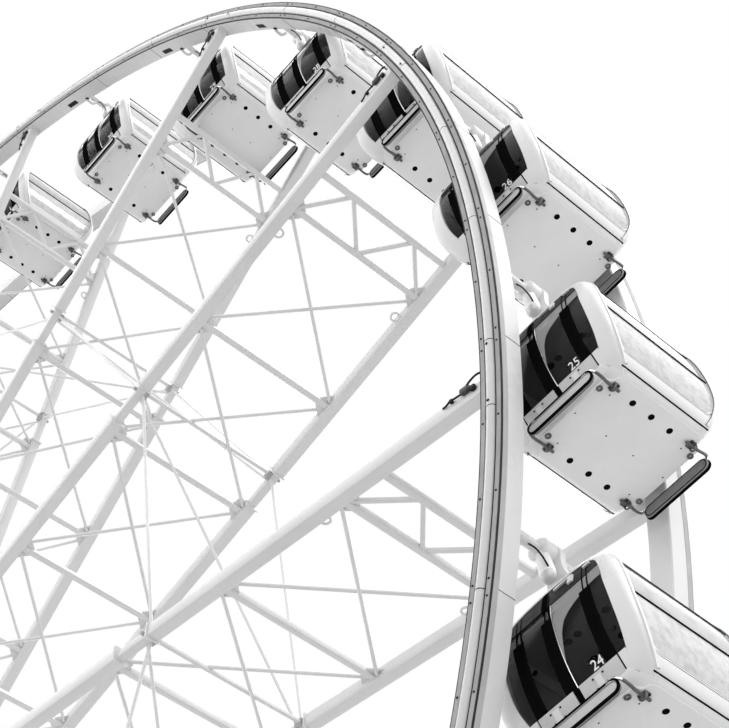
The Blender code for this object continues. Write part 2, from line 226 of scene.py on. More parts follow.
def spread(shape, places, turns=None):
    """Repeat a shape: copy n is turn n times its points plus place n."""
    points, faces = shape
    if turns is not None:
        points = np.einsum("nij,pj->npi", turns, points)
    return copies(points + np.asarray(places)[:, None], faces)


def block(low, high, corner=0.006):
    """Make a box with worn edges between its low and high corners, as a stack of rings along Z."""
    low, high = np.asarray(low, float), np.asarray(high, float)
    size = high - low
    edge = min(corner, size.min() / 3)
    profile = box_profile(size[0], size[1], edge)[None]
    levels = np.array([low[2], low[2] + edge, high[2] - edge, high[2]])[:, None]
    shrink = np.array([edge * 0.6, 0, 0, edge * 0.6])[:, None, None]
    x, y = np.moveaxis(profile - np.sign(profile) * shrink + (low + high)[:2] / 2, -1, 0)
    return capped(points_of(x, y, levels))


def capped(rings):
    """Close a stack of rings at both ends with a point in the middle of the end ring."""
    rows, columns = rings.shape[:2]
    points = np.concatenate((rings.reshape(-1, 3), rings[0].mean(0)[None], rings[-1].mean(0)[None]))
    j = np.arange(columns)
    k = (j + 1) % columns
    end = (rows - 1) * columns
    empty = np.full(columns, -1)
    walls = grid_faces(rows, columns, close_columns=True)
    first = np.stack((k, j, np.full(columns, rows * columns), empty), -1)
    last = np.stack((j + end, k + end, np.full(columns, rows * columns + 1), empty), -1)
    return points, np.concatenate((walls, first, last))


def turned(profile, sides=16, axis="z"):
    """Turn a profile of (radius, height) about Z or Y: (r cos a, r sin a, h), both ends closed."""
    radius, height = np.transpose(profile)[..., None]
    a = TURN * np.arange(sides) / sides
    if axis == "y":
        return capped(points_of(radius * np.cos(a), height, -radius * np.sin(a)))
    return capped(points_of(radius * np.cos(a), radius * np.sin(a), height))


def along_path(path, profile, up, closed=False):
    """Carry a profile along a path: point (i, j) is path i + p times across i + q times up i."""
    path = np.asarray(path, float)
    if closed:
        tangent = np.roll(path, -1, 0) - np.roll(path, 1, 0)
    else:
        tangent = np.gradient(path, axis=0)
    tangent = unit(tangent)
    across = unit(np.cross(tangent, np.broadcast_to(np.asarray(up, float), path.shape)))
    raised = np.cross(across, tangent)
    rings = path[:, None] + profile[None, :, :1] * across[:, None] + profile[None, :, 1:] * raised[:, None]
    if closed:
        return rings.reshape(-1, 3), grid_faces(len(path), len(profile), True, True)
    return capped(rings)


def flow(points, steps):
    """Carry a smooth cubic through points: each stretch blends four neighbours in powers of t."""
    p = np.asarray(points, float)
    e = np.vstack((2 * p[0] - p[1], p, 2 * p[-1] - p[-2]))
    a, b, c, d = (v[:, None] for v in (e[:-3], e[1:-2], e[2:-1], e[3:]))
    t = (np.arange(steps) / steps)[None, :, None]
    made = b + t * (c - a) / 2 + t**2 * (2 * a - 5 * b + 4 * c - d) / 2 + t**3 * (3 * b - a - 3 * c + d) / 2
    return np.vstack((made.reshape(-1, p.shape[1]), p[-1:]))


def slab(outer, inner, close_columns=False):
    """Make a closed sheet from an outer and an inner grid, joined along their open edges."""
    rows, columns = outer.shape[:2]
    total = rows * columns
    front = grid_faces(rows, columns, close_columns=close_columns)
    index = np.arange(total).reshape(rows, columns)
    if close_columns:
        loops = (index[0], index[-1][::-1])
    else:
        edge = (index[0, :-1], index[:-1, -1], index[-1, :0:-1], index[:0:-1, 0])
        loops = (np.concatenate(edge),)
    rim = [np.stack((np.roll(w, -1), w, w + total, np.roll(w, -1) + total), -1) for w in loops]
    faces = np.concatenate([front, front[:, ::-1] + total] + rim)
    return np.concatenate((outer.reshape(-1, 3), inner.reshape(-1, 3))), faces


def wheel_turn(angle):
    """Return the matrix that turns +X by an angle towards +Z."""
    c, s = np.cos(angle), np.sin(angle)
    return np.array([[c, 0, -s], [0, 1, 0], [s, 0, c]])


def polar(radius, angle, y):
    """Return points on the wheel: (r cos a, y, r sin a) from the middle of the axle."""
    return points_of(radius * np.cos(angle), y, radius * np.sin(angle)) + AXLE


def stud(radius, height):
    """Make a six-sided bolt head: a short turned form with a slightly smaller top."""
    return turned(((radius, 0), (radius, height * 0.75), (radius * 0.75, height)), 6)


def facing(shape, side):
    """Turn a shape made along +Z so that it stands along Y, outwards on its side."""
    tilt = np.array([[1, 0, 0], [0, 0, side], [0, -side, 0]], float)
    return shape[0] @ tilt.T, shape[1]


def upright(shape):
    """Stand a flat shape up: its Y and its Z change places."""
    return shape[0][:, [0, 2, 1]], shape[1]


# Finishes

def new_group(name, inputs, outputs):
    """Start a shader node group with named inputs and outputs."""
    group = bpy.data.node_groups.new(name, "ShaderNodeTree")
    for label, kind, value in inputs:
        socket = group.interface.new_socket(name=label, in_out="INPUT", socket_type=kind)
        socket.default_value = value
    for label, kind in outputs:
        group.interface.new_socket(name=label, in_out="OUTPUT", socket_type=kind)
    return group, group.nodes.new("NodeGroupInput"), group.nodes.new("NodeGroupOutput")


def chain(tree, kind, **values):
    """Add a node and set its named properties and inputs."""
    node = tree.nodes.new(kind)
    for key, value in values.items():
        if hasattr(node, key):
            setattr(node, key, value)
        else:
            node.inputs[key.replace("_", " ")].default_value = value
    return node


def wire(tree, *links):
    """Link sockets: each link names a node and its output, then a node and its input."""
    for source, output, target, given in links:
        tree.links.new(source.outputs[output], target.inputs[given])


# How many times finer the specks are than the clouds of grime
SPECKS = 9.0


def weathering_group():
    """Weathering: soft cloudy grime and fine specks mixed into a paint colour. On the side panes the same
    mottle is partly dust and partly painted reflection of clouds.
    """
    inputs = (
        ("Paint", "NodeSocketColor", (0.8, 0.8, 0.8, 1)),
        ("Grime", "NodeSocketColor", (0.5, 0.5, 0.5, 1)),
        ("Scale", "NodeSocketFloat", 1.0),
        ("Amount", "NodeSocketFloat", 0.3),
    )
    group, given, result = new_group("Weathering", inputs, (("Colour", "NodeSocketColor"),))
    coords = group.nodes.new("ShaderNodeTexCoord")
    cloud = chain(group, "ShaderNodeTexNoise", Detail=5.0, Roughness=0.6)
    speck = chain(group, "ShaderNodeTexNoise", Detail=3.0, Roughness=0.7)
    finer = chain(group, "ShaderNodeMath", operation="MULTIPLY")
    finer.inputs[1].default_value = SPECKS
    soft = chain(group, "ShaderNodeMapRange", From_Min=0.42, From_Max=0.75)
    crisp = chain(group, "ShaderNodeMapRange", From_Min=0.60, From_Max=0.72)
    joined = chain(group, "ShaderNodeMath", operation="MAXIMUM")
    amount = chain(group, "ShaderNodeMath", operation="MULTIPLY")
    mix = chain(group, "ShaderNodeMix", data_type="RGBA")
    wire(
        group,
        (coords, "Object", cloud, "Vector"), (coords, "Object", speck, "Vector"),
        (given, "Scale", cloud, "Scale"), (given, "Scale", finer, 0), (finer, 0, speck, "Scale"),
        (cloud, "Fac", soft, "Value"), (speck, "Fac", crisp, "Value"),
        (soft, "Result", joined, 0), (crisp, "Result", joined, 1),
        (joined, 0, amount, 0), (given, "Amount", amount, 1), (amount, 0, mix, 0),
        (given, "Paint", mix, 6), (given, "Grime", mix, 7),
        (mix, 2, result, "Colour"))


def gloss_group():
    """Uneven gloss: a roughness that wanders between two values."""
    inputs = (
        ("Smooth", "NodeSocketFloat", 0.3),
        ("Rough", "NodeSocketFloat", 0.5),
        ("Scale", "NodeSocketFloat", 2.0),
    )
    group, given, result = new_group("Uneven gloss", inputs, (("Roughness", "NodeSocketFloat"),))
    coords = group.nodes.new("ShaderNodeTexCoord")
    cloud = chain(group, "ShaderNodeTexNoise", Detail=4.0)
    ranged = chain(group, "ShaderNodeMapRange", From_Min=0.3, From_Max=0.7)
    wire(
        group,
        (coords, "Object", cloud, "Vector"), (given, "Scale", cloud, "Scale"),
        (cloud, "Fac", ranged, "Value"), (given, "Smooth", ranged, "To Min"),
        (given, "Rough", ranged, "To Max"), (ranged, "Result", result, "Roughness"))


def grain_group():
    """Grain: a fine height for paint skin, rubber or zinc."""
    inputs = (("Scale", "NodeSocketFloat", 60.0),)
    group, given, result = new_group("Grain", inputs, (("Height", "NodeSocketFloat"),))
    coords = group.nodes.new("ShaderNodeTexCoord")
    fine = chain(group, "ShaderNodeTexNoise", Detail=2.0)
    wire(
        group,
        (coords, "Object", fine, "Vector"), (given, "Scale", fine, "Scale"),
        (fine, "Fac", result, "Height"))


def shade(value):
    """Return red, green, blue and alpha of a colour, or of a grey given as one number."""
    return (*np.broadcast_to(value, 3).tolist(), 1.0)


def finish(name, paint, grime, rough, scale=1.0, amount=0.3, metal=0.0, coat=0.0, grain=60.0, bump=0.02,
           shine=0.5):
    """Make a painted or bare finish from the weathering, gloss and grain groups; rough is (least, most)."""
    material = bpy.data.materials.new(name)
    material.use_nodes = True
    tree = material.node_tree
    shader = tree.nodes["Principled BSDF"]
    shader.inputs["Metallic"].default_value = metal
    shader.inputs["Coat Weight"].default_value = coat
    shader.inputs["Specular IOR Level"].default_value = shine
    wear, gloss, skin = (chain(tree, "ShaderNodeGroup", node_tree=bpy.data.node_groups[label])
                         for label in ("Weathering", "Uneven gloss", "Grain"))
    settings = (
        (wear, "Paint", shade(paint)), (wear, "Grime", shade(grime)), (wear, "Scale", scale),
        (wear, "Amount", amount), (gloss, "Smooth", rough[0]), (gloss, "Rough", rough[1]),
        (gloss, "Scale", scale * 2), (skin, "Scale", grain))
    for node, label, value in settings:
        node.inputs[label].default_value = value
    relief = chain(tree, "ShaderNodeBump", Strength=bump, Distance=0.01)
    wire(
        tree,
        (wear, "Colour", shader, "Base Color"), (gloss, "Roughness", shader, "Roughness"),
        (skin, "Height", relief, "Height"), (relief, "Normal", shader, "Normal"))
    return material


def glass(name, tint_and_painted_light, dust_and_painted_light, amount, clear, bend, scale=1.6):
    """Make tinted glazing with a film of dust; clear is the part that light passes, bend its refraction.
    Where little light passes, the pale colour and its mottle are painted light on the glass.
    """
    material = finish(name, tint_and_painted_light, dust_and_painted_light, (0.03, 0.10), scale=scale, amount=amount, grain=8.0, bump=0.01)
    material.node_tree.nodes["Principled BSDF"].inputs["Transmission Weight"].default_value = clear
    material.node_tree.nodes["Principled BSDF"].inputs["IOR"].default_value = bend
    return material


class FinishColours(PropertyGroup):
    """Colours of the wheel's finishes."""

    steel_white: FloatVectorProperty(
        name="Steelwork white", description="Paint of the rims and spoke frames",
        default=(0.73, 0.73, 0.73), subtype="COLOR", min=0, max=1)
    skin_white: FloatVectorProperty(
        name="Cabin white", description="Moulded skin of the cabins",
        default=(0.72, 0.72, 0.72), subtype="COLOR", min=0, max=1)
    floor_grey: FloatVectorProperty(
        name="Cabin floor", description="Underside of the cabins",
        default=(0.78, 0.78, 0.78), subtype="COLOR", min=0, max=1)
    strip_grey: FloatVectorProperty(
        name="Rim strips", description="Bolted flange strips on the rims' outer faces",
        default=(0.42, 0.42, 0.42), subtype="COLOR", min=0, max=1)
    door_tint: FloatVectorProperty(
        name="Door glass", description="Tint of the end doors' glazing",
        default=(0.36, 0.36, 0.36), subtype="COLOR", min=0, max=1)
    stand_grey: FloatVectorProperty(
        name="Stand grey", description="Paint of housings and base beams",
        default=(0.60, 0.60, 0.60), subtype="COLOR", min=0, max=1)


class WHEEL_OT_finishes(Operator):
    """Make every finish and the node groups that they share"""

    bl_idname = "wheel.finishes"
    bl_label = "Make finishes"

    def execute(self, context):
        colours = context.scene.wheel_colours
        weathering_group()
        gloss_group()
        grain_group()
        dust = (0.50, 0.50, 0.49)
        finish("steelwork white", colours.steel_white, dust, (0.24, 0.38), 0.8, 0.22, shine=0.14)
        finish("cabin skin white", colours.skin_white, (0.66, 0.66, 0.65), (0.20, 0.34), 0.9, 0.16,
               grain=25.0, bump=0.01, shine=0.2)
        finish("cabin floor coat", colours.floor_grey, (0.62, 0.62, 0.61), (0.42, 0.60), 1.7, 0.30,
               bump=0.03)
        finish("rim strip grey", colours.strip_grey, 0.24, (0.5, 0.65), 3.0, 0.45, shine=0.04)
        finish("rim lip grey", 0.46, 0.30, (0.5, 0.65), 3.0, 0.35, shine=0.1)
        finish("light cover", 0.60, 0.44, (0.20, 0.34), 1.4, 0.25, shine=0.3)
        finish("seam black", 0.012, 0.05, (0.5, 0.7), 4.0, 0.3, shine=0.1)
        finish("band black", 0.004, 0.012, (0.5, 0.7), 3.0, 0.2, shine=0.0)
        finish("bumper sheet grey", 0.52, 0.38, (0.35, 0.50), 4.0, 0.35, bump=0.05, shine=0.12)
        finish("rubber", 0.22, 0.16, (0.45, 0.6), 4.0, 0.35, bump=0.05, shine=0.2)
        finish("bracket steel", 0.10, (0.24, 0.23, 0.22), (0.35, 0.55), 12.0, 0.5, metal=0.3,
               shine=0.3)
        finish("junction grey", 0.045, 0.10, (0.45, 0.6), 12.0, 0.5, shine=0.2)
        finish("bright steel", (0.66, 0.66, 0.67), 0.36, (0.20, 0.40), 9.0, 0.35, metal=0.8)
        finish("kick plate grey", 0.56, 0.40, (0.35, 0.5), 5.0, 0.4, shine=0.3)
        finish("number white", 0.85, 0.6, (0.35, 0.5), 6.0, 0.2)
        finish("stand grey", colours.stand_grey, (0.40, 0.40, 0.39), (0.40, 0.58), 1.0, 0.35)
        finish("leg white", 0.78, dust, (0.32, 0.50), 0.6, 0.25, coat=0.1)
        finish("deck metal", (0.40, 0.40, 0.41), 0.24, (0.40, 0.6), 2.2, 0.5, metal=0.6, bump=0.1)
        finish("hub grey", 0.52, (0.35, 0.35, 0.34), (0.35, 0.52), 2.0, 0.35, metal=0.2)
        finish("cabin lining", 0.46, 0.56, (0.5, 0.7), 3.0, 0.3, shine=0.1)
        finish("header dark", 0.012, 0.035, (0.5, 0.7), 5.0, 0.5, shine=0.05)
        finish("cabin bench", 0.30, 0.24, (0.4, 0.6), 3.0, 0.3, shine=0.2)
        glass("door glass", colours.door_tint, 0.26, 0.35, 1.0, 1.07)
        # A paler, less clear copy of the door glass for a wedge of painted light on it.
        glass("light door glass", 0.46, 0.40, 0.3, 0.35, 1.07)
        # The side panes are pale and let little light through: painted reflection of the sky, mottled
        # partly as dust and partly as painted reflection of clouds.
        glass("lower side glass", 0.66, 0.36, 0.7, 0.12, 1.10, 9.0)
        glass("upper side glass", 0.46, 0.30, 0.8, 0.12, 1.10, 7.0)
        return {"FINISHED"}


# Rims

class RimSizes(PropertyGroup):
    """Sizes of the two rims."""

    height: FloatProperty(
        name="Height", description="Radial height of the rim box", default=0.300, unit="LENGTH")
    strip: FloatProperty(
        name="Strip", description="From the rim's edge to a strip's end", default=0.074, unit="LENGTH")
    gap: FloatProperty(
        name="Gap", description="Width of the dark groove beside a strip", default=0.018, unit="LENGTH")
    cover: FloatProperty(
        name="Cover", description="Radius of the half-round cover", default=0.056, unit="LENGTH")
    steps: IntProperty(name="Steps", description="Stretches round the ring", default=300)


# How far a rim's strips stand out from its face
PROUD = 0.014

# Degrees after a spoke frame at which two lengths of a rim meet
MEETINGS = np.array([1.53, 8.34, 15.24])


def rim_form(sizes, side):
    """Make one rim: its box profile turned about the axle, then strips and the half-round cover."""
    half = sizes.height / 2
    a = TURN * np.arange(sizes.steps) / sizes.steps
    form = Form()

    def ring(radii, depths, chosen):
        """Turn a closed profile: radii from the pivot circle, depths outwards from the rim's middle."""
        radii, depths = np.array(radii), np.array(depths)
        grid = polar(PIVOT_RADIUS + radii[None], a[:, None], side * (RIM_Y + depths)[None])
        form.add((grid.reshape(-1, 3), grid_faces(len(a), len(radii), True, True)), chosen)

    depth = (RIM_FACE - RIM_BACK) / 2
    low = depth - PROUD
    worn = 0.014
    ring((-half, -half, -half + worn, half - worn, half, half, half - 0.004, -half + 0.004),
         (low, -depth + worn, -depth, -depth, -depth + worn, low, low, low), "steelwork white")
    # A black sheet on the face shows in the grooves beside the strips and the cover: painted shade of those
    # recesses.
    ring((-half - 0.001, -half, half, half + 0.001, half + 0.001, -half - 0.001),
         (low + 0.004, low + 0.006, low + 0.006, low + 0.004, low - 0.004, low - 0.004), "seam black")
    gap = sizes.gap
    for start, end in ((-half + gap, -half + sizes.strip), (half - sizes.strip, half - gap)):
        ring((start, start + 0.003, end - 0.003, end, end, start),
             (depth - 0.003, depth, depth, depth - 0.003, low, low), "rim strip grey")
    # A grey band on the outer face along its front edge.
    ring((half, half + 0.004, half + 0.004, half), (low - 0.004, low - 0.004, low - 0.070, low - 0.070),
         "rim lip grey")
    t = np.linspace(0, np.pi, 11)
    ring(-sizes.cover * np.cos(t), low + sizes.cover * 0.95 * np.sin(t), "light cover")
    return form


def bay_angles(offsets):
    """Return the angles that lie the given degrees after each spoke frame, one set for every frame."""
    starts = frame_turn(1) + FRAME_STEP * np.arange(len(FRAMES))
    return (starts[:, None] + np.radians(np.atleast_1d(offsets))[None]).ravel()


def rim_fittings(sizes, side):
    """Make the strips' bolts, the cover's joints, the seams, and black patches on the hub-facing face as
    painted shade of the cut-outs there.
    """
    form = Form()
    face = side * RIM_FACE
    singles = np.array([4.88, 11.80, 18.76, -2.14])
    angles = bay_angles(np.concatenate((MEETINGS - 0.30, MEETINGS + 0.30, singles)))
    head = facing(stud(0.0125, 0.010), side)
    for radius in (-0.104, 0.104):
        form.add(spread(head, polar(PIVOT_RADIUS + radius, angles, face)), "seam black")
    low = RIM_FACE - PROUD
    t = np.linspace(0, np.pi, 9)
    reach = sizes.cover + 0.0015
    band = np.stack((-reach * np.cos(t), reach * 0.95 * np.sin(t)), -1)
    joints = bay_angles(np.array([8.34, 15.24, -1.62, 1.42]))
    wide = 0.010 / PIVOT_RADIUS
    a = joints[:, None] + np.array([-wide, wide])[None] / 2
    grid = polar(PIVOT_RADIUS + band[:, 0], a[..., None], side * (low + band[:, 1]))
    inner = polar(PIVOT_RADIUS + band[:, 0] * 0.96, a[..., None], side * (low + band[:, 1] * 0.96))
    for one, other in zip(grid, inner):
        form.add(slab(one, other), "seam black")
    knobs = bay_angles(np.array([-1.40, 1.22]))
    top = turned(((0.017, 0), (0.017, 0.008), (0.010, 0.012)), 8)
    places = polar(PIVOT_RADIUS, knobs, side * (low + sizes.cover * 0.93))
    form.add(spread(facing(top, side), places), "seam black")
    seams = bay_angles(MEETINGS)
    inside = PIVOT_RADIUS - sizes.height / 2
    for radius in (inside - 0.0005, PIVOT_RADIUS + sizes.height / 2 - 0.0005):
        ends = [polar(radius, seams, side * y) for y in (RIM_BACK + 0.012, RIM_FACE - 0.022)]
        form.add(bars(*ends, box_profile(0.003, 0.008, 0.001), (0, 0, 1)), "seam black")
    # Thin black patches stand in for cut-outs: painted shade of the openings' insides.
    pivots = np.array([cabin_turn(n) for n in range(1, len(CABINS) + 1)])
    y = side * (RIM_BACK + 0.114)
    starts, ends = (polar(inside, pivots + np.radians(d), y) for d in (0.66, 1.66))
    form.add(bars(starts, ends, box_profile(0.090, 0.003, 0.001), (0, 1, 0)), "seam black")
    return form


def pivot_fittings(sizes, side):
    """Make the conduit that runs from the rim to each cabin's pivot, and the dark collar at its start."""
    form = Form()
    inside = PIVOT_RADIUS - sizes.height / 2
    path = flow([(inside + 0.002, RIM_BACK + 0.050), (inside - 0.028, RIM_BACK + 0.020),
                 (inside - 0.034, RIM_BACK - 0.060), (inside - 0.020, RIM_BACK - 0.110),
                 (PIVOT_RADIUS - 0.110, RIM_BACK - 0.150)], 3)
    for number in range(1, len(CABINS) + 1):
        angle = cabin_turn(number) - np.radians(0.30)
        line = polar(path[:, 0], angle, side * path[:, 1])
        up = polar(1.0, angle, 0.0) - AXLE + (0, 0.3, 0)
        form.add(along_path(line, round_profile(0.024, 7), up), "steelwork white")
        form.add(along_path(line[:3], round_profile(0.034, 8), up), "seam black")
    return form


class WHEEL_OT_rims(Operator):
    """Build both rims with their strips, light covers and bolts"""

    bl_idname = "wheel.rims"
    bl_label = "Build rims"

    def execute(self, context):
        sizes = context.scene.wheel_rims
        for word, side in (("front", -1), ("back", 1)):
            rim_form(sizes, side).piece(f"{word}_rim_ring", "wheel", "white_paint", (f"{word}_rim",))
            rim_fittings(sizes, side).piece(f"{word}_rim_bolts", "wheel", "black_trim")
            pivot_fittings(sizes, side).piece(f"{word}_pivot_conduits", "wheel", "white_paint")
        return {"FINISHED"}


# Spoke frames

class SpokeSizes(PropertyGroup):
    """Sizes of the spoke frames."""

    chord: FloatProperty(name="Chord", description="Width of a chord tube", default=0.180, unit="LENGTH")
    strut: FloatProperty(name="Strut", description="Width of a strut", default=0.090, unit="LENGTH")
    zigzag: FloatProperty(
        name="Zigzag", description="Width of a brace next to the rim", default=0.055, unit="LENGTH")
    rod: FloatProperty(name="Rod", description="Diameter of a crossed rod", default=0.050, unit="LENGTH")
    clamp: FloatProperty(
        name="Clamp", description="Radius at which the halves meet", default=12.28, unit="LENGTH")


# A gusset's corners beside a strut: along the chord, and from the chord's edge
GUSSET = np.array([(0.20, 0), (-0.20, 0), (-0.06, -0.16), (0.06, -0.16)])

# Distances of a spoke frame's struts from the axle
STRUT_RADII = np.array([16.20, 15.60, 13.58, 11.57, 9.38, 7.20, 5.02, 2.90])


def frame_form(sizes):
    """Make a spoke frame along +X: chords with end plates, struts, zigzag bay, crossed rods, gussets."""
    form = Form()
    white = "steelwork white"
    half = sizes.chord / 2
    start, end = 1.25, PIVOT_RADIUS - 0.15
    wide = box_profile(sizes.chord, sizes.chord, 0.022, 3)
    slim = box_profile(sizes.chord * 0.62, sizes.chord * 0.72, 0.016, 3)
    clamp = sizes.clamp
    for side in (-1, 1):
        y = side * RIM_Y
        form.add(bars((start, y, 0), (clamp - 0.55, y, 0), wide), white)
        form.add(bars((clamp - 0.60, y, 0), (clamp + 0.10, y, 0), slim), white)
        form.add(bars((clamp + 0.06, y, 0), (end, y, 0), wide), white)
        plate = box_profile(0.25, 0.25, 0.02)
        form.add(bars((end - 0.022, y, 0), (end, y, 0), plate), white)
        form.add(bars((start, y, 0), (start + 0.03, y, 0), plate), white)
        for r in (clamp - 0.56, clamp + 0.07):
            form.add(bars((r - 0.012, y, 0), (r + 0.012, y, 0), box_profile(0.23, 0.22, 0.015)), white)
    inner = RIM_Y - half * 0.6
    radii = np.concatenate((STRUT_RADII, [clamp]))
    widths = np.concatenate((np.full(len(STRUT_RADII), sizes.strut), [sizes.rod]))
    for radius, width in zip(radii, widths):
        section = box_profile(width, width, width * 0.14, 3)
        form.add(bars((radius, -inner, 0), (radius, inner, 0), section), white)
    outer, near = STRUT_RADII[0], STRUT_RADII[1]
    edge = RIM_Y - half
    stops = np.linspace(-edge, edge, 5)
    zigzag = box_profile(sizes.zigzag, sizes.zigzag, 0.008, 2)
    radius = np.array([near, outer, near, outer, near])
    ends = points_of(radius, stops, 0.0)
    form.add(bars(ends[:-1], ends[1:], zigzag), white)
    bays = STRUT_RADII[1:]
    rods = round_profile(sizes.rod / 2, 8)
    reach = RIM_Y - half - 0.01
    for s in (-1, 1):
        starts = points_of(bays[:-1] - 0.08, s * reach, s * 0.028)
        form.add(bars(starts, points_of(bays[1:] + 0.08, -s * reach, s * 0.028), rods), white)
        for r in bays:
            levels = np.array([0.008, -0.008])[:, None]
            form.add(capped(points_of(r + GUSSET[:, 0], s * (edge + 0.004 + GUSSET[:, 1]), levels)), white)
    return form


def lug_shape(radius, tube):
    """Make a round eye: a circle of the given radius carried with a round profile."""
    a = TURN * np.arange(14) / 14
    path = points_of(radius * np.cos(a), radius * np.sin(a), 0.0)
    return along_path(path, round_profile(tube, 6), (0, 0, 1), closed=True)


def frame_fittings(sizes):
    """Make the frame's eye lugs, clamp pins and bolts."""
    form = Form()
    half = sizes.chord / 2
    clamp = sizes.clamp
    eye = lug_shape(0.062, 0.016)
    pin = turned(((0.016, -0.11), (0.026, -0.11), (0.026, 0.11), (0.016, 0.11)), 8, "y")
    for side in (-1, 1):
        y = side * (RIM_Y - half)
        for r in (STRUT_RADII[1] - 0.40, clamp - 0.62):
            form.add(eye, "steelwork white", place=(r, y - side * 0.055, 0.02))
            form.add(bars((r - 0.055, y, 0.02), (r + 0.055, y, 0.02), box_profile(0.10, 0.03, 0.01)),
                     "steelwork white")
        form.add(pin, "rim lip grey", place=(clamp - 0.02, side * RIM_Y, 0.0))
        form.add(block((clamp - 0.09, y - 0.035, -0.05), (clamp + 0.03, y + 0.035, 0.05)), "rim lip grey")
        ends = [(clamp - 0.13, side * RIM_Y, half * 0.6), (clamp + 0.15, side * RIM_Y, half - 0.004)]
        form.add(spread(turned(((0.022, 0), (0.022, 0.05), (0.012, 0.06)), 6), ends), "bracket steel")
        points, faces = stud(0.016, 0.014)
        towards_hub = np.array([[0, 0, -1], [0, 1, 0], [1, 0, 0]], float)
        places = [(PIVOT_RADIUS - 0.172, side * RIM_Y + p, q) for p in (-0.1, 0.1) for q in (-0.1, 0.1)]
        form.add(spread((points @ towards_hub.T, faces), places), "bright steel")
    return form


def junction_form():
    """Make the dark junction box on a front chord's outer end, with the leads that run from it."""
    form = Form()
    y = -RIM_Y - 0.092
    form.add(block((17.54, y - 0.062, 0.005), (17.68, y, 0.085), 0.022), "junction grey")
    form.add(block((17.68, y - 0.045, -0.020), (17.75, y, 0.050), 0.012), "seam black")
    form.add(block((17.38, y - 0.040, 0.020), (17.43, y, 0.070), 0.010), "seam black")
    lead = flow([(17.64, y - 0.050, 0.06), (17.70, y - 0.035, 0.13), (17.78, y - 0.020, 0.17),
                 (17.85, y + 0.030, 0.19)], 4)
    form.add(along_path(lead, round_profile(0.013, 6), (0, 1, 0)), "seam black")
    tail = flow([(17.56, y - 0.030, 0.030), (17.46, y - 0.035, 0.030), (17.40, y - 0.030, 0.050),
                 (17.34, y - 0.020, 0.035), (17.27, y - 0.004, 0.050)], 4)
    form.add(along_path(tail, round_profile(0.012, 6), (0, 1, 0)), "seam black")
    return form


def tie_form(sizes):
    """Make the thin ring ties between neighbouring frames, and one diagonal in each bay."""
    form = Form()
    turns = bay_angles(0.0)
    rod = round_profile(sizes.rod * 0.42, 6)
    reach = RIM_Y - 0.05
    for side in (-1, 1):
        starts = polar(sizes.clamp - 0.02, turns, side * reach)
        form.add(bars(starts, np.roll(starts, -1, 0), rod, (0, 1, 0)), "steelwork white")
    front = polar(sizes.clamp - 0.10, turns, -reach)
    back = polar(sizes.clamp - 0.10, turns, reach)
    form.add(bars(front, np.roll(back, 1, 0), rod, (0, 1, 0)), "steelwork white")
    return form


class WHEEL_OT_spokes(Operator):
    """Build the fifteen spoke frames and the ring ties between them"""

    bl_idname = "wheel.spokes"
    bl_label = "Build spoke frames"

    def execute(self, context):
        sizes = context.scene.wheel_spokes
        body, fittings, junction = frame_form(sizes), frame_fittings(sizes), junction_form()
        for number, name in enumerate(FRAMES, 1):
            turn = wheel_turn(frame_turn(number))
            body.piece(f"{name}_tubes", "wheel", "white_paint", (name,), turn, AXLE)
            fittings.piece(f"{name}_fittings", "wheel", "dark_steel", (), turn, AXLE)
            junction.piece(f"{name}_junction", "wheel", "black_trim", (), turn, AXLE)
        tie_form(sizes).piece("ring_ties", "wheel", "white_paint")
        return {"FINISHED"}


# Hub and stand

class StandSizes(PropertyGroup):
    """Sizes of the fittings on the hub and the stand."""

    flange: FloatProperty(
        name="Hub flange", description="Thickness of a hub flange", default=0.300, unit="LENGTH")
    bolt: FloatProperty(
        name="Bolt", description="Radius of a large bolt head", default=0.028, unit="LENGTH")
    rung: FloatProperty(
        name="Rungs", description="Distance between ladder rungs", default=0.300, unit="LENGTH")
    seam: FloatProperty(
        name="Seams", description="Distance between ballast joints", default=1.500, unit="LENGTH")
    rail: FloatProperty(name="Rail", description="Radius of a middle rail", default=0.019, unit="LENGTH")
    stud_step: FloatProperty(
        name="Tread studs", description="Distance between raised studs", default=0.280, unit="LENGTH")


def collar(profile):
    """Turn a closed section of (radius, distance) about the Y axis: (r cos a, y, r sin a)."""
    sides = 30
    profile = np.asarray(profile, float)
    a = TURN * np.arange(sides)[:, None] / sides
    radius, y = profile[None, :, 0], profile[None, :, 1]
    grid = points_of(radius * np.cos(a), y, radius * np.sin(a))
    return grid.reshape(-1, 3), grid_faces(sides, len(profile), True, True)


def hub_form(sizes):
    """Make the hub's stepped discs, bolt rings, drum ribs and shaft ends."""
    form = Form()
    face = RIM_Y + sizes.flange / 2
    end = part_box("hub")[1][1]
    head = stud(sizes.bolt, sizes.bolt * 0.8)
    nut = stud(sizes.bolt * 0.7, sizes.bolt * 0.6)
    for side in (-1, 1):
        disc = np.array([(0.302, 0.0005), (0.302, 0.075), (0.40, 0.075),
                         (0.46, 0.030), (0.66, 0.026), (0.68, 0.0005)])
        form.add(collar((disc + (0, face)) * (1, side)), "hub grey", place=AXLE)
        ring = TURN * (np.arange(24) + 0.5) / 24
        form.add(spread(facing(nut, side), polar(0.57, ring, side * (face + 0.0275))), "bright steel")
        for radius, offsets in ((1.10, (-4.5, 0.0, 4.5)), (0.88, 0.0)):
            places = polar(radius, bay_angles(offsets), side * face)
            form.add(spread(facing(head, side), places), "bright steel")
        cap = turned(((0.262, 0.0005), (0.262, 0.010), (0.250, 0.014)), 30)
        form.add(facing(cap, side), "bright steel", place=AXLE + (0, side * end, 0))
        six = TURN * np.arange(6) / 6
        form.add(spread(facing(nut, side), polar(0.17, six, side * (end + 0.012))), "bracket steel")
    for y in (-0.55, 0.0, 0.55):
        rib = ((0.58, y - 0.03), (0.66, y - 0.03), (0.66, y + 0.03), (0.58, y + 0.03))
        form.add(collar(rib), "hub grey", place=AXLE)
    return form


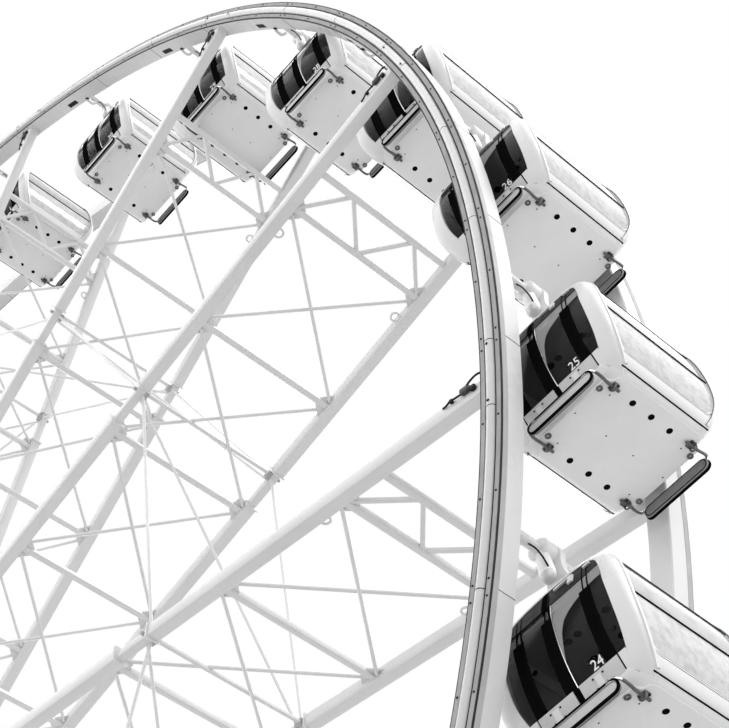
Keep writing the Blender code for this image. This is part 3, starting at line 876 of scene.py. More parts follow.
def housing_form(word, side, sizes):
    """Make a bearing housing's rings, bolt rows, split line, top plate and lifting eyes."""
    form = Form()
    low, high = (np.array(corner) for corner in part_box(f"{word}_bearing_housing"))
    faces = sorted((abs(low[1]), abs(high[1])))
    middle = (low + high) / 2
    half = (high - low) / 2
    nut = stud(sizes.bolt * 0.7, sizes.bolt * 0.6)
    twelve = TURN * np.arange(12) / 12
    for y, way in ((faces[1], 1), (faces[0], -1)):
        section = np.array([(0.325, 0.0), (0.325, 0.030), (0.415, 0.030), (0.430, 0.018), (0.430, 0.0)])
        form.add(collar((section * (1, way) + (0, y)) * (1, side)), "hub grey", place=AXLE)
        places = polar(0.375, twelve, side * (y + way * 0.030))
        form.add(spread(facing(nut, side * way), places), "bright steel")
        x, z = np.meshgrid((-half[0] + 0.045, half[0] - 0.045), np.linspace(-0.40, 0.40, 5))
        places = points_of(x.ravel(), side * y, z.ravel() + AXLE[2])
        form.add(spread(facing(stud(sizes.bolt * 0.8, 0.02), side * way), places), "bracket steel")
        for hand in (-1, 1):
            ends = [(hand * x, side * y, AXLE[2]) for x in (0.436, half[0] + 0.001)]
            form.add(bars(*ends, box_profile(0.010, 0.004, 0.001)), "seam black")
    form.add(block((-half[0] + 0.03, middle[1] - half[1] + 0.03, high[2] + 0.0005),
                   (half[0] - 0.03, middle[1] + half[1] - 0.03, high[2] + 0.025)), "stand grey")
    for x in (-0.28, 0.28):
        form.add(upright(lug_shape(0.050, 0.014)), "bracket steel", place=(x, middle[1], high[2] + 0.078))
    return form


# A leg's length, its width at the foot and at the top, and half its depth
LEG_LENGTH = 22.7
LEG_FOOT = 0.62
LEG_TOP = 1.0
LEG_DEPTH = 0.22


def leg_point(across, side, t, u, v):
    """A point of a leg: t from foot to top, u from its lower to its upper side, v along Y, both -1 to 1."""
    low, high = (np.array(corner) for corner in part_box("front_right_leg"))
    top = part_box("front_bearing_housing")[0][2]
    foot_x, foot_y = high[0] - LEG_FOOT, -low[1] - LEG_DEPTH
    t, u, v = np.broadcast_arrays(t, u, v)
    inner = np.stack((foot_x + (low[0] - foot_x) * t, low[2] + (top - low[2]) * t), -1)
    outer = np.stack((high[0] + (low[0] - high[0]) * t, low[2] + (high[2] - low[2]) * t), -1)
    line = inner + (outer - inner) * ((u + 1) / 2)[..., None]
    y = foot_y + (-high[1] + LEG_DEPTH - foot_y) * t
    return points_of(across * line[..., 0], side * (y + v * LEG_DEPTH), line[..., 1])


def leg_form(across, side, sizes):
    """Make a leg's end plates, the bolted flanges between its lengths, and every second leg's ladder."""
    form = Form()
    u, v = np.array([-1, 1, 1, -1]), np.array([-1, -1, 1, 1])

    def plate(t, thick, wide, deep, chosen):
        """Add a plate round the leg: t and its half thickness as parts of the leg's length."""
        rings = [leg_point(across, side, t + d, u * wide, v * deep) for d in (-thick, thick)]
        form.add(capped(np.stack(rings)), chosen)

    for t in (0.34, 0.67):
        plate(t, 0.0014, 1.16, 1.20, "leg white")
        plate(t, 0.0001, 1.165, 1.205, "seam black")
        a, b = np.meshgrid(np.linspace(-0.8, 0.8, 4), (-1.10, 1.10))
        ends = [leg_point(across, side, t + d, a.ravel(), b.ravel()) for d in (-0.0026, 0.0026)]
        form.add(bars(*ends, round_profile(0.018, 6), (0, 1, 0)), "bracket steel")
    plate(0.0022, 0.0013, 1.35, 1.18, "leg white")
    plate(0.985, 0.0013, 1.12, 1.18, "leg white")
    if across * side < 0:
        t = np.arange(0.06, 0.955, sizes.rung / LEG_LENGTH)
        reach = 0.36 * LEG_FOOT / np.interp(t, (0, 1), (LEG_FOOT, LEG_TOP))
        rails = [leg_point(across, side, t, hand * reach, 1.50) for hand in (-1, 1)]
        for hand, rail in zip((-1, 1), rails):
            form.add(bars(rail[:1], rail[-1:], round_profile(0.020, 7), (0, 1, 0)), "bright steel")
            feet = leg_point(across, side, t[::8], hand * reach[::8], 1.0)
            form.add(bars(feet, rail[::8], round_profile(0.014, 6)), "bright steel")
        form.add(bars(*rails, round_profile(0.012, 6), (0, 1, 0)), "bright steel")
    return form


def beam_form(name, sizes):
    """Make a ballasted beam's edge angles and the joints between its ballast blocks."""
    form = Form()
    low, high = (np.array(corner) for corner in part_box(name))
    along = int(np.argmax((high - low)[:2]))
    middle, half = (low + high) / 2, (high - low) / 2
    step, sideways = np.eye(3)[[along, 1 - along]]
    ground = middle * (1, 1, 0)
    inset = 0.10 if along == 0 else 0.15
    for hand in (-1, 1):
        start = ground + sideways * hand * (half[1 - along] - 0.03) + (0, 0, high[2] + 0.0105)
        reach = step * (half[along] - inset)
        for first, last in ((-1, 0), (0, 1)):
            ends = (start + reach * first, start + reach * last)
            form.add(bars(*ends, box_profile(0.020, 0.055, 0.004)), "stand grey")
        for place in np.arange(low[along] + sizes.seam / 2, high[along], sizes.seam):
            foot = ground + sideways * hand * half[1 - along] + step * (place - middle[along])
            ends = (foot + (0, 0, low[2] + 0.02), foot + (0, 0, high[2] - 0.01))
            form.add(bars(*ends, box_profile(0.010, 0.004, 0.001), step), "seam black")
    return form


# The platforms' deck: its height, half length, and the run and rise of a step at its ends
DECK_TOP = 1.20
DECK_HALF = 4.20
STEP_RUN = 0.30
STEP_RISE = DECK_TOP / 7

# The lines of the platforms' rails, the gap for the steps in the end rails, and the stairs' own rails
RAIL_X = 4.14
RAIL_Y = 5.39
GAP_Y = (2.60, 4.56)
STAIR_Y = (2.745, 4.455)
STAIR_RAIL = 0.92


def platform_form(side, sizes):
    """Make a platform's tread studs, toe boards, middle rails, braces, step edges and stair rails."""
    form = Form()
    near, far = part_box("back_platform")[0][1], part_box("back_platform")[1][1]
    top, half = DECK_TOP, DECK_HALF
    tube, brace = round_profile(sizes.rail, 8), round_profile(0.016, 6)

    def mirrored(first, last, profile, chosen, hands=(-1, 1)):
        """Add a bar at each end of the platform: X is taken times each hand, Y times the side."""
        flips = np.array([(hand, side, 1) for hand in hands])
        form.add(bars(flips * first, flips * last, profile), chosen)

    def stair(s, y, lift):
        """A point over the steps: s steps out from the deck's end, at a height above the slope."""
        return (half + s * STEP_RUN, y, top - s * STEP_RISE + lift)

    x, y = np.meshgrid(np.arange(-half + 0.15, half - 0.1, sizes.stud_step),
                       np.arange(near + 0.12, far - 0.12, sizes.stud_step))
    odd = (np.arange(x.size) // x.shape[1] + np.arange(x.size) % x.shape[1]) % 2
    turns = np.array([np.diag((0.55, 1.5, 1.0)), np.diag((1.5, 0.55, 1.0))])[odd]
    places = points_of(x.ravel(), side * y.ravel(), top)
    form.add(spread(turned(((0.032, 0.0), (0.024, 0.004)), 6), places, turns), "deck metal")
    seam, board = box_profile(0.004, 0.010, 0.001), box_profile(0.14, 0.010, 0.003)
    for x in np.arange(-half + 1.4, half - 0.5, 1.4):
        mirrored((x, near + 0.01, top), (x, far - 0.01, top), seam, "seam black", (1,))
    rows = ((0.38, tube, 0.0, "bright steel"), (0.70, tube, 0.0, "bright steel"),
            (0.075, board, 0.02, "deck metal"))
    for height, profile, out, chosen in rows:
        z = top + height
        mirrored((half - 0.05, RAIL_Y + out, z), (0.05 - half, RAIL_Y + out, z), profile, chosen, (-1,))
        mirrored((RAIL_X + out, near + 0.40, z), (RAIL_X + out, GAP_Y[0], z), profile, chosen)
    for height in (0.38, 0.70, 1.07):
        z = top + height
        mirrored((RAIL_X, GAP_Y[1], z), (RAIL_X, RAIL_Y, z), tube, "bright steel")
    post = box_profile(0.05, 0.05, 0.01)
    mirrored((RAIL_X, GAP_Y[1], top), (RAIL_X, GAP_Y[1], top + 1.09), post, "deck metal")
    for y, foot in ((near + 0.21, 0.08), (far - 0.21, 0.58)):
        for first, last in ((3.95, 0.05), (0.05, 3.95)):
            mirrored((first, y, foot), (last, y, top - 0.17), brace, "bracket steel")
    for s in range(7):
        edge = box_profile(0.008, 0.045, 0.002)
        first, last = (np.add(stair(s, y, 0.002), (-0.02, 0, 0)) for y in (2.72, 4.48))
        mirrored(first, last, edge, "seam black")
    for y in STAIR_Y:
        for s, extra in ((1, 0.0), (3.5, -0.08), (6, 0.0)):
            foot = np.add(stair(s, y, extra), (-0.12, 0, 0))
            tall = (0, 0, STAIR_RAIL - extra)
            mirrored(foot, foot + tall, box_profile(0.045, 0.045, 0.008), "deck metal")
        tube = round_profile(0.022, 8)
        start = (half - 0.02, y, top + STAIR_RAIL + 0.10)
        mirrored(start, stair(5.75, y, STAIR_RAIL - 0.02), tube, "bright steel")
        mirrored((half + 0.02, y, top + 0.50), stair(5.65, y, 0.45), tube, "bright steel")
    return form


# The last word of a CAD node's name and the finish that it gets
NODE_FINISHES = (("leg", "leg white"), ("beam", "stand grey"), ("housing", "stand grey"),
                 ("platform", "deck metal"), ("hub", "hub grey"))


class WHEEL_OT_stand(Operator):
    """Build the hub's and the stand's fittings, and give the legs, beams and platforms their finishes"""

    bl_idname = "wheel.stand"
    bl_label = "Build hub and stand"

    def execute(self, context):
        for name, item in frame["nodes"].items():
            for word, chosen in NODE_FINISHES:
                if name.endswith(word):
                    item.data.materials.clear()
                    item.data.materials.append(bpy.data.materials[chosen])
        sizes = context.scene.wheel_stand
        hub_form(sizes).piece("hub_fittings", "wheel", "grey_paint")
        for word, side in (("front", -1), ("back", 1)):
            housing_form(word, side, sizes).piece(f"{word}_housing_fittings", "stand", "grey_paint")
            platform_form(side, sizes).piece(f"{word}_platform_fittings", "stand", "deck_metal")
            for hand, across in (("left", -1), ("right", 1)):
                leg_form(across, side, sizes).piece(f"{word}_{hand}_leg_fittings", "stand", "white_paint")
        for name in ("front_base_beam", "back_base_beam", "left_cross_beam", "right_cross_beam"):
            beam_form(name, sizes).piece(f"{name}_fittings", "stand", "grey_paint")
        return {"FINISHED"}


# Cabins

class CabinSizes(PropertyGroup):
    """Sizes of a cabin. Heights are above its underside."""

    drop: FloatProperty(
        name="Drop", description="From the pivot down to the underside", default=2.33, unit="LENGTH")
    sill: FloatProperty(
        name="Sill", description="Height of the side window's lower edge", default=0.22, unit="LENGTH")
    waist: FloatProperty(
        name="Waist", description="Height of the joint between two panes", default=0.88, unit="LENGTH")
    head: FloatProperty(
        name="Head", description="Height of the side window's upper edge", default=1.44, unit="LENGTH")
    arch: FloatProperty(
        name="Arch", description="Width of the arch's face round a door", default=0.185, unit="LENGTH")
    depth: FloatProperty(
        name="Depth", description="Depth of the arch along the side", default=0.124, unit="LENGTH")
    skin: FloatProperty(
        name="Skin", description="Thickness of the moulded skin", default=0.045, unit="LENGTH")
    door: FloatProperty(
        name="Door", description="Height of the glass door's lower edge", default=0.33, unit="LENGTH")
    lintel: FloatProperty(
        name="Lintel", description="Height of the header's lower edge", default=1.41, unit="LENGTH")
    band: FloatProperty(
        name="Band", description="Height of the black bands' upper ends", default=1.215, unit="LENGTH")
    number: FloatProperty(
        name="Number", description="Height of a cabin's number", default=0.105, unit="LENGTH")


# Half width, half length and height of the skin from the middle of the floor to the crown
SKIN_LINE = np.array([
    (0.00, 0.640, 0.000), (0.40, 0.640, 0.000), (0.575, 0.645, 0.010), (0.655, 0.690, 0.070),
    (0.725, 0.765, 0.200), (0.795, 0.860, 0.480), (0.815, 0.900, 0.800), (0.800, 0.885, 1.180),
    (0.735, 0.825, 1.440), (0.600, 0.755, 1.630), (0.360, 0.705, 1.750), (0.00, 0.690, 1.790)])

# The arch's section: distance behind its face, and depth below the outline as a part of its width
ARCH_SECTION = np.array([
    (0.015, -1.00), (0.003, -0.96), (0.000, -0.80), (0.000, -0.45), (0.008, -0.25), (0.028, -0.10),
    (0.060, -0.015), (0.095, 0.02), (0.118, 0.01), (0.124, -0.09), (0.115, -0.30), (0.070, -1.00)])


class Cabin:
    """The cabin's smooth outline and what is measured from it."""

    def __init__(self, sizes):
        self.sizes = sizes
        self.half = flow(SKIN_LINE, 4)

    def width(self, z):
        """Half width at a height: straight between the outline's points."""
        return np.interp(z, self.half[:, 2], self.half[:, 0])

    def length(self, z):
        """Half length at a height."""
        return np.interp(z, self.half[:, 2], self.half[:, 1])

    def face(self, z):
        """Width of the arch's face: full up to the shoulder, narrow at the crown."""
        return self.sizes.arch * np.interp(z, (1.15, 1.45, 1.68), (1.0, 0.76, 0.40))

    def loop(self):
        """The whole outline as a closed line of (x, half length, z)."""
        left = self.half[-2:0:-1] * (-1, 1, 1)
        return np.vstack((self.half, left))

    def normals(self, loop):
        """Outward directions in the XZ plane, square to the closed outline."""
        along = np.roll(loop, -1, 0) - np.roll(loop, 1, 0)
        normal = np.stack((along[:, 2], np.zeros(len(loop)), -along[:, 0]), -1)
        return unit(normal)

    def stretch(self, low, high):
        """Indices of the closed outline from one height round the crown or the floor to the other side."""
        loop = self.loop()
        count = len(loop)
        inside = (loop[:, 2] >= low) & (loop[:, 2] <= high)
        start = count // 2 if inside[0] else 0
        order = (np.arange(count) + start) % count
        return order[inside[order]]


def arch_part(cabin, side, chosen):
    """Carry the arch's section round a stretch: outline + b along its normal, at the length there - a."""
    loop = cabin.loop()[chosen]
    normal = cabin.normals(cabin.loop())[chosen]
    behind, below = ARCH_SECTION[:, 0], ARCH_SECTION[None, :, 1] * cabin.face(loop[:, 2])[:, None]
    x, z = (loop[:, k, None] + below * normal[:, k, None] for k in (0, 2))
    return capped(points_of(x, side * (cabin.length(z) - behind[None]), z))


def skin_sheet(cabin, chosen):
    """Make a stretch of the skin between the arches: outline times (-1..1) along Y, with a thickness."""
    loop = cabin.loop()
    normal = cabin.normals(loop)[chosen]
    line = loop[chosen]
    v = np.linspace(-1, 1, 3)
    reach = line[:, 1] - cabin.sizes.depth * 0.5
    outer = points_of(line[:, :1], reach[:, None] * v[None], line[:, 2:])
    inner = outer - cabin.sizes.skin * normal[:, None]
    return slab(outer, inner)


def side_point(cabin, side, q, z, depth):
    """A point of the side wall: width(z) - depth across, q times the clear half length along."""
    return points_of(side * (cabin.width(z) - depth), q * (cabin.length(z) - cabin.sizes.depth * 0.93), z)


def window_line(cabin):
    """Return q and z of the wall's edge, a square, and of the window's edge in it, |c|^14 + |s|^14 = 1."""
    sizes = cabin.sizes
    middle, tall = (sizes.sill + sizes.head) / 2, (sizes.head - sizes.sill) / 2
    t = TURN * (np.arange(48) + 0.5) / 48
    c, s = np.cos(t), np.sin(t)
    blend = (np.abs(c) ** 14 + np.abs(s) ** 14) ** (-1 / 14)
    square = 1 / np.maximum(np.abs(c), np.abs(s))
    inset = 0.985
    return (c * square, middle + s * square * tall), (c * blend * inset, middle + s * blend * tall * inset)


# A hanger plate's outline above the roof, as (x, height above the underside)
HANGER_LINE = ((-0.30, 1.66), (-0.17, 1.83), (-0.105, 2.10), (-0.135, 2.33), (0.0, 2.46),
               (0.135, 2.33), (0.105, 2.10), (0.17, 1.83), (0.30, 1.66))

# The boot beside a hanger and the column above it, as (radius, height above the underside): the boot's grey
# is painted shade under the sleeve, the column's brighter white painted light.
BOOT = ((0.03, 1.872), (0.052, 1.878), (0.076, 1.900), (0.088, 1.945), (0.087, 1.980))
COLUMN = ((0.087, 1.978), (0.089, 1.985), (0.086, 2.05), (0.080, 2.15), (0.070, 2.30))


def shell_form(cabin):
    """Make the white shell: arches with a ridge behind, lower body, roof, window surrounds and hangers."""
    sizes = cabin.sizes
    form = Form(sizes.drop)
    skin, coat = "cabin skin white", "cabin floor coat"
    loop = cabin.loop()
    half = len(loop) // 2
    wall = np.flatnonzero((loop[:, 2] > 0.05) & (loop[:, 2] < sizes.sill + 0.04))
    stretches = ((cabin.stretch(-1, 0.08), coat), (cabin.stretch(sizes.head - 0.03, 9), skin),
                 (wall[wall < half], skin), (wall[wall > half], skin))
    for chosen, kind in stretches:
        form.add(skin_sheet(cabin, chosen), kind)
    edges = window_line(cabin)
    plate = flow(HANGER_LINE, 4)
    rise = np.linspace(0.10, 1.66, 15)
    at_pivot = (0, 0, sizes.drop)
    for side in (-1, 1):
        form.add(arch_part(cabin, side, cabin.stretch(0.03, 9)), skin)
        form.add(arch_part(cabin, side, cabin.stretch(-1, 0.045)), coat)
        walls = (np.stack([side_point(cabin, side, *edge, depth) for edge in edges])
                 for depth in (0.0, sizes.skin))
        form.add(slab(*walls, close_columns=True), skin)
        for hand in (-1, 1):
            x = hand * (cabin.width(rise) + 0.003)
            # A white ridge behind each arch, and on its inner flank a thin dark strip: painted shade of
            # that flank.
            for back, thick, tall, kind in ((0.098, 0.034, 0.030, skin), (0.118, 0.006, 0.023, "rubber")):
                ridge = points_of(x, side * (cabin.length(rise) - back), rise)
                form.add(along_path(ridge, box_profile(tall, thick, 0.0025, 1), (0, 1, 0)), kind)
        faces = side * 0.52 + np.array([-0.035, 0.035])[:, None]
        form.add(capped(points_of(plate[:, 0], faces, plate[:, 1])), skin)
        # The grey boot is painted shade under the sleeve; the column's brighter white is painted light
        # against its shade.
        for profile, kind in ((BOOT, "hub grey"), (COLUMN, "number white")):
            points, faces = turned(profile, 14)
            form.add((points * (1, 0.75, 1), faces), kind, place=(0, side * 0.67, 0))
        points, faces = turned(((0.10, 0.47), (0.128, 0.49), (0.128, 0.70), (0.116, 0.715)), 16, "y")
        form.add((points * (1, side, 1), faces), skin, place=at_pivot)
        ends = ((0, side * 0.50, 0), (0, side * (RIM_BACK - 0.0003), 0))
        form.add(bars(*ends, round_profile(0.062, 12), (1, 0, 0)), skin, place=at_pivot)
    form.add(bars((0, -0.52, 0), (0, 0.52, 0), round_profile(0.045, 10), (1, 0, 0)), skin, place=at_pivot)
    return form


# A quarter of the floor pan's outline in plan, from the side to the middle of the door
PAN_LINE = np.array([
    (0.590, 0.00), (0.590, 0.52), (0.582, 0.580), (0.550, 0.612), (0.500, 0.625), (0.478, 0.645),
    (0.470, 0.685), (0.450, 0.700), (0.000, 0.704)])


def floor_form(cabin):
    """Make the light grey floor pan, a stack of its plan outline, and inside it the lining and benches."""
    form = Form(cabin.sizes.drop)
    half = np.vstack((PAN_LINE, PAN_LINE[-2::-1] * (-1, 1)))
    plan = np.vstack((half, half[-2:0:-1] * (1, -1)))
    levels = ((-0.004, 0.992), (-0.001, 1.0), (0.030, 1.0), (0.034, 0.992))
    rings = np.stack([np.column_stack((plan * scale, np.full(len(plan), z))) for z, scale in levels])
    form.add(capped(rings), "cabin floor coat")
    form.add(block((-0.60, -0.66, 0.050), (0.60, 0.66, 0.075)), "cabin lining")
    form.add(block((-0.69, -0.70, 1.500), (0.69, 0.70, 1.520)), "cabin lining")
    for side in (-1, 1):
        for near, far, long, low, high, edge in ((0.40, 0.735, 0.58, 0.40, 0.47, 0.02),
                                                 (0.60, 0.64, 0.50, 0.07, 0.41, 0.006)):
            near, far = sorted((side * near, side * far))
            form.add(block((near, -long, low), (far, long, high), edge), "cabin bench")
    spot = turned(((0.040, 0.0), (0.044, -0.006), (0.036, -0.010)), 12)
    spots = [(x, y, 1.501) for x in (-0.24, -0.12, 0.12, 0.24) for y in (-0.30, 0.05)]
    form.add(spread(spot, spots), "seam black")
    return form


def door_point(cabin, side, x, z, proud):
    """A point of the end door: the cabin's length at that height, a little hollow, plus a distance."""
    return points_of(x, side * (cabin.length(z) - 0.016 + proud), z)


def door_edge(cabin, z):
    """Half width of the door at a height: where the arch's face ends."""
    return cabin.width(z) - cabin.face(z) * 0.97


def door_strip(cabin, side, x0, x1, z0, z1, proud, thick, rows=3, columns=14):
    """Make a strip that follows the end door: x by z grid, proud of the glass by a thickness."""
    x = np.linspace(x0, x1, rows)[:, None]
    z = np.linspace(z0, z1, columns)[None]
    return slab(*(door_point(cabin, side, x, z, away) for away in (proud + thick, proud)))


def door_sheet(cabin, side, low, high, proud, thick, rows=3, columns=20):
    """Make a sheet over the whole door between two heights: its edges lie behind the arch's face."""
    z = np.linspace(low, high, columns)[None]
    x = np.linspace(-1, 1, rows)[:, None] * (door_edge(cabin, z) + 0.02)
    return slab(*(door_point(cabin, side, x, z, away) for away in (proud + thick, proud)))


# The lower edge of the pane of painted light on the door glass: distances from the door's middle joint, and
# the heights there
WEDGE_LINE = ((0.014, 0.03, 0.07, 0.12, 0.20, 0.33, 0.49), (0.62, 0.72, 0.93, 1.05, 1.12, 1.18, 1.235))


def light_pane(cabin, side):
    """Make a door's pane of painted light: across as p squared, and up evenly from its curved edge to the
    header.
    """
    p, t = np.linspace(0, 1, 17)[:, None], np.linspace(0, 1, 7)[None]
    edge = door_edge(cabin, cabin.sizes.lintel) + 0.01
    x = 0.014 + p * p * (edge - 0.014)
    low = np.interp(x, *WEDGE_LINE)
    z = low + (cabin.sizes.lintel - low) * t
    return slab(*(door_point(cabin, side, -side * x, z, proud) for proud in (0.0008, -0.004)))


def glass_form(cabin):
    """Make the end doors' dark glass with its pane of painted light, and the side windows' two panes, pale
    with painted reflection.
    """
    form = Form(cabin.sizes.drop)
    sizes = cabin.sizes
    q = np.linspace(-1, 1, 3)[:, None]
    panes = ((sizes.sill, sizes.waist, "lower side glass"),
             (sizes.waist + 0.004, sizes.head, "upper side glass"))
    for side in (-1, 1):
        dark = door_sheet(cabin, side, sizes.door - 0.02, sizes.lintel + 0.03, -0.010, 0.010)
        form.add(dark, "door glass")
        form.add(light_pane(cabin, side), "light door glass")
        for low, high, kind in panes:
            z = np.linspace(low, high, 9)[None]
            form.add(slab(*(side_point(cabin, side, q, z, depth) for depth in (0.010, 0.020))), kind)
    return form


# Small white parts on a door's header, as x from, x to, height from, height to
HEADER_PARTS = ((0.06, 0.27, 1.600, 1.632), (0.24, 0.30, 1.490, 1.610), (0.43, 0.51, 1.545, 1.570))


def trim_form(cabin):
    """Make the dark trim: door bands, header, window joints, lower seam, cables, floor holes and knobs."""
    form = Form(cabin.sizes.drop)
    sizes = cabin.sizes
    bands = ((-0.480, -0.352), (-0.124, 0.004), (0.350, 0.478))
    q, z = window_line(cabin)[1]
    top = z > sizes.head - 0.10
    line, seam_z = np.linspace(-1, 1, 12), 0.072
    knob = turned(((0.024, -0.02), (0.030, -0.014), (0.030, -0.006), (0.022, -0.002)), 10)
    for side in (-1, 1):
        strips = [(x0, x1, sizes.door - 0.03, sizes.band, 0.001, 0.006, 2) for x0, x1 in bands]
        strips += [(x, x + 0.010, sizes.band - 0.01, 1.62, 0.003, 0.008, 2, 8)
                   for x0, x1 in bands for x in (x0 + 0.050, x1 - 0.022)]
        strips += [(-0.10, -0.03, sizes.lintel - 0.02, 1.70, 0.008, 0.006),
                   (-0.50, 0.50, 0.128, sizes.door, -0.012, 0.012, 9, 5)]
        for strip in strips:
            form.add(door_strip(cabin, side, *strip), "band black")
        joint = door_strip(cabin, side, 0.004, 0.011, sizes.door, sizes.lintel, 0.001, 0.004)
        form.add(joint, "bright steel")
        form.add(door_sheet(cabin, side, sizes.lintel, 1.738, 0.0, 0.008, 3, 9), "header dark")
        labels = [(-side, x0, x1, z0, z1, 0.008, 3, 4) for x0, x1, z0, z1 in HEADER_PARTS]
        labels += [(hand, 0.487, 0.570, 0.15, sizes.door + 0.003, -0.010, 3, 5) for hand in (-1, 1)]
        for hand, x0, x1, z0, z1, proud, rows, columns in labels:
            x0, x1 = sorted((hand * x0, hand * x1))
            part = door_strip(cabin, side, x0, x1, z0, z1, proud, 0.022, rows, columns)
            form.add(part, "cabin skin white")
        for x, height in ((0.545, 0.58), (0.20, 0.47), (-0.33, 0.78)):
            place = door_point(cabin, side, -side * x, height, -0.010)
            form.add(facing(knob, side), "seam black", place=place)
        seam = points_of(side * (cabin.width(seam_z) + 0.001), np.linspace(-0.64, 0.64, 14), seam_z)
        head = side_point(cabin, side, q[top], z[top], -0.001)
        waist = side_point(cabin, side, line, sizes.waist, 0.006)
        runs = [(head, round_profile(0.0065, 6), "seam black"),
                (waist, box_profile(0.020, 0.016, 0.004), "band black"),
                (seam, round_profile(0.0095, 6), "band black")]
        for above in (0.010, 0.030):
            wire_line = side_point(cabin, side, line * 0.965, sizes.sill + above, 0.001)
            runs.append((wire_line, round_profile(0.0032, 5), "rubber"))
        for path, profile, chosen in runs:
            form.add(along_path(path, profile, (side, 0, 0)), chosen)
        cable = flow([(0.02, 0.868, -0.060), (0.050, 0.820, -0.130), (0.062, 0.760, -0.240),
                      (0.050, 0.690, -0.370)], 4) * (1, side, 1)
        cable = along_path(cable, round_profile(0.010, 5), (0, 0, 1))
        form.add(cable, "seam black", place=(0, 0, sizes.drop))
    # Black discs on the underside stand for the floor's six holes: painted shade of their insides.
    hole = turned(((0.036, 0.004), (0.036, 0), (0.034, -0.0015)), 16)
    holes = [(x, y, -0.004) for x in (-0.435, 0.435) for y in (-0.275, 0.0, 0.275)]
    form.add(spread(hole, holes), "band black")
    dot = turned(((0.010, 0.003), (0.010, 0), (0.008, -0.002)), 6)
    spots = ((0.36, 0.531), (0.0, 0.652), (-0.36, 0.531), (0.0, 0.20))
    form.add(spread(dot, [(x, s * y, -0.004) for x, y in spots for s in (-1, 1)]), "seam black")
    return form


def plate_form(cabin, text):
    """Make the pale kick plates with their bolts, and the cabin's plain number."""
    form = Form(cabin.sizes.drop)
    sizes = cabin.sizes
    for side in (-1, 1):
        head = facing(stud(0.011, 0.009), side)
        for x0, x1 in ((-0.470, -0.052), (0.018, 0.470)):
            plate = door_strip(cabin, side, x0, x1, 0.168, sizes.door, 0.002, 0.012, 5, 5)
            form.add(plate, "kick plate grey")
            middle = (x0 + x1) / 2 - 0.02
            cover = (middle - 0.035, middle + 0.035, 0.195, 0.300, 0.014, 0.006, 3, 3)
            form.add(door_strip(cabin, side, *cover), "cabin skin white")
            x, z = np.meshgrid((middle - 0.058, middle + 0.058), (0.200, 0.292))
            form.add(spread(head, door_point(cabin, side, x.ravel(), z.ravel(), 0.013)), "seam black")
        points, faces = text
        x = -side * (0.275 + points[:, 0] * sizes.number)
        z = sizes.door + 0.062 + points[:, 1] * sizes.number
        form.add((door_point(cabin, side, x, z, 0.003 + points[:, 2] * 0.1), faces), "number white")
    return form


def bumper_form(cabin):
    """Make both bumpers: an upright panel with dark edges and a light grey sheet of painted sheen on its
    outer face, its steel arms and their brackets.
    """
    form = Form(cabin.sizes.drop)
    outline = box_profile(0.86, 0.150, 0.066, 5)
    low, reach = 0.027, 0.455
    eye, lug = upright(lug_shape(0.040, 0.011)), lug_shape(0.025, 0.012)
    bolt = turned(((0.012, -0.010), (0.012, 0.004), (0.007, 0.005)), 6)

    def level(y, wide, tall, below):
        """The outline at a place along Y: its width and its height times two scales, lowered."""
        return points_of(outline[:, 0] * wide, y, outline[:, 1] * tall - below)

    for side in (-1, 1):
        panel = ((0.836, 0.97), (0.840, 1.0), (0.880, 1.0), (0.886, 0.97))
        form.add(capped(np.stack([level(side * y, scale, scale, low) for y, scale in panel])), "rubber")
        # The light grey sheet on the outer face, lighter than the rubber behind it, is painted sheen where
        # the sky lights that face.
        sheet = [level(side * y, 0.97, 0.66, 0.042) for y in (0.8862, 0.8882)]
        form.add(capped(np.stack(sheet)), "bumper sheet grey")
        for y, scale, thick in ((0.836, 0.93, 0.0055), (0.868, 1.0, 0.0085), (0.884, 1.0, 0.0120)):
            edge = level(side * y, 0.5 + scale / 2, scale, low)
            form.add(along_path(edge, round_profile(thick, 6), (0, 1, 0), closed=True), "band black")
        for hand in (-1, 1):
            x = hand * reach
            arm = flow([(reach, 0.52, -0.018), (reach, 0.66, -0.020), (0.462, 0.76, -0.006),
                        (0.452, 0.83, 0.020), (0.405, 0.872, 0.046), (0.320, 0.878, 0.050)], 3)
            for part, chosen in ((arm[:10], "bracket steel"), (arm[9:], "bright steel")):
                tube = along_path(part * (hand, side, 1), round_profile(0.018, 7), (0, 0, 1))
                form.add(tube, chosen)
            form.add(eye, "bracket steel", place=(x, side * 0.600, -0.040))
            form.add(lug, "bracket steel", place=(hand * 0.355, side * 0.676, -0.012))
            for wide, near, far, y, bottom, head in ((0.050, 0.040, 0.040, 0.575, -0.020, -0.003),
                                                     (0.016, 0.050, 0.040, 0.540, -0.045, -0.015)):
                corners = ((x - wide, side * y - near, bottom), (x + wide, side * y + far, head))
                form.add(block(*corners), "bracket steel")
            bolts = [(x - 0.036, side * 0.600, -0.020), (x + 0.036, side * 0.550, -0.020)]
            form.add(spread(bolt, bolts), "seam black")
    return form


def number_shape(value):
    """Turn a plain number into a mesh one unit high, centred on its own middle."""
    curve = bpy.data.curves.new("number", "FONT")
    curve.body = str(value)
    curve.align_x = "CENTER"
    curve.align_y = "CENTER"
    curve.extrude = 0.02
    curve.resolution_u = 3
    item = bpy.data.objects.new("number", curve)
    bpy.context.scene.collection.objects.link(item)
    graph = bpy.context.evaluated_depsgraph_get()
    mesh = bpy.data.meshes.new_from_object(item.evaluated_get(graph))
    points = np.empty(len(mesh.vertices) * 3, np.float32)
    mesh.vertices.foreach_get("co", points)
    mesh.calc_loop_triangles()
    faces = np.empty(len(mesh.loop_triangles) * 3, np.int32)
    mesh.loop_triangles.foreach_get("vertices", faces)
    bpy.data.objects.remove(item, do_unlink=True)
    bpy.data.meshes.remove(mesh)
    bpy.data.curves.remove(curve)
    return points.reshape(-1, 3).astype(float) * (1.3, 1.3, 1.0), faces.reshape(-1, 3)


# The number that cabin_01 carries; the others count on from it
FIRST_NUMBER = 26


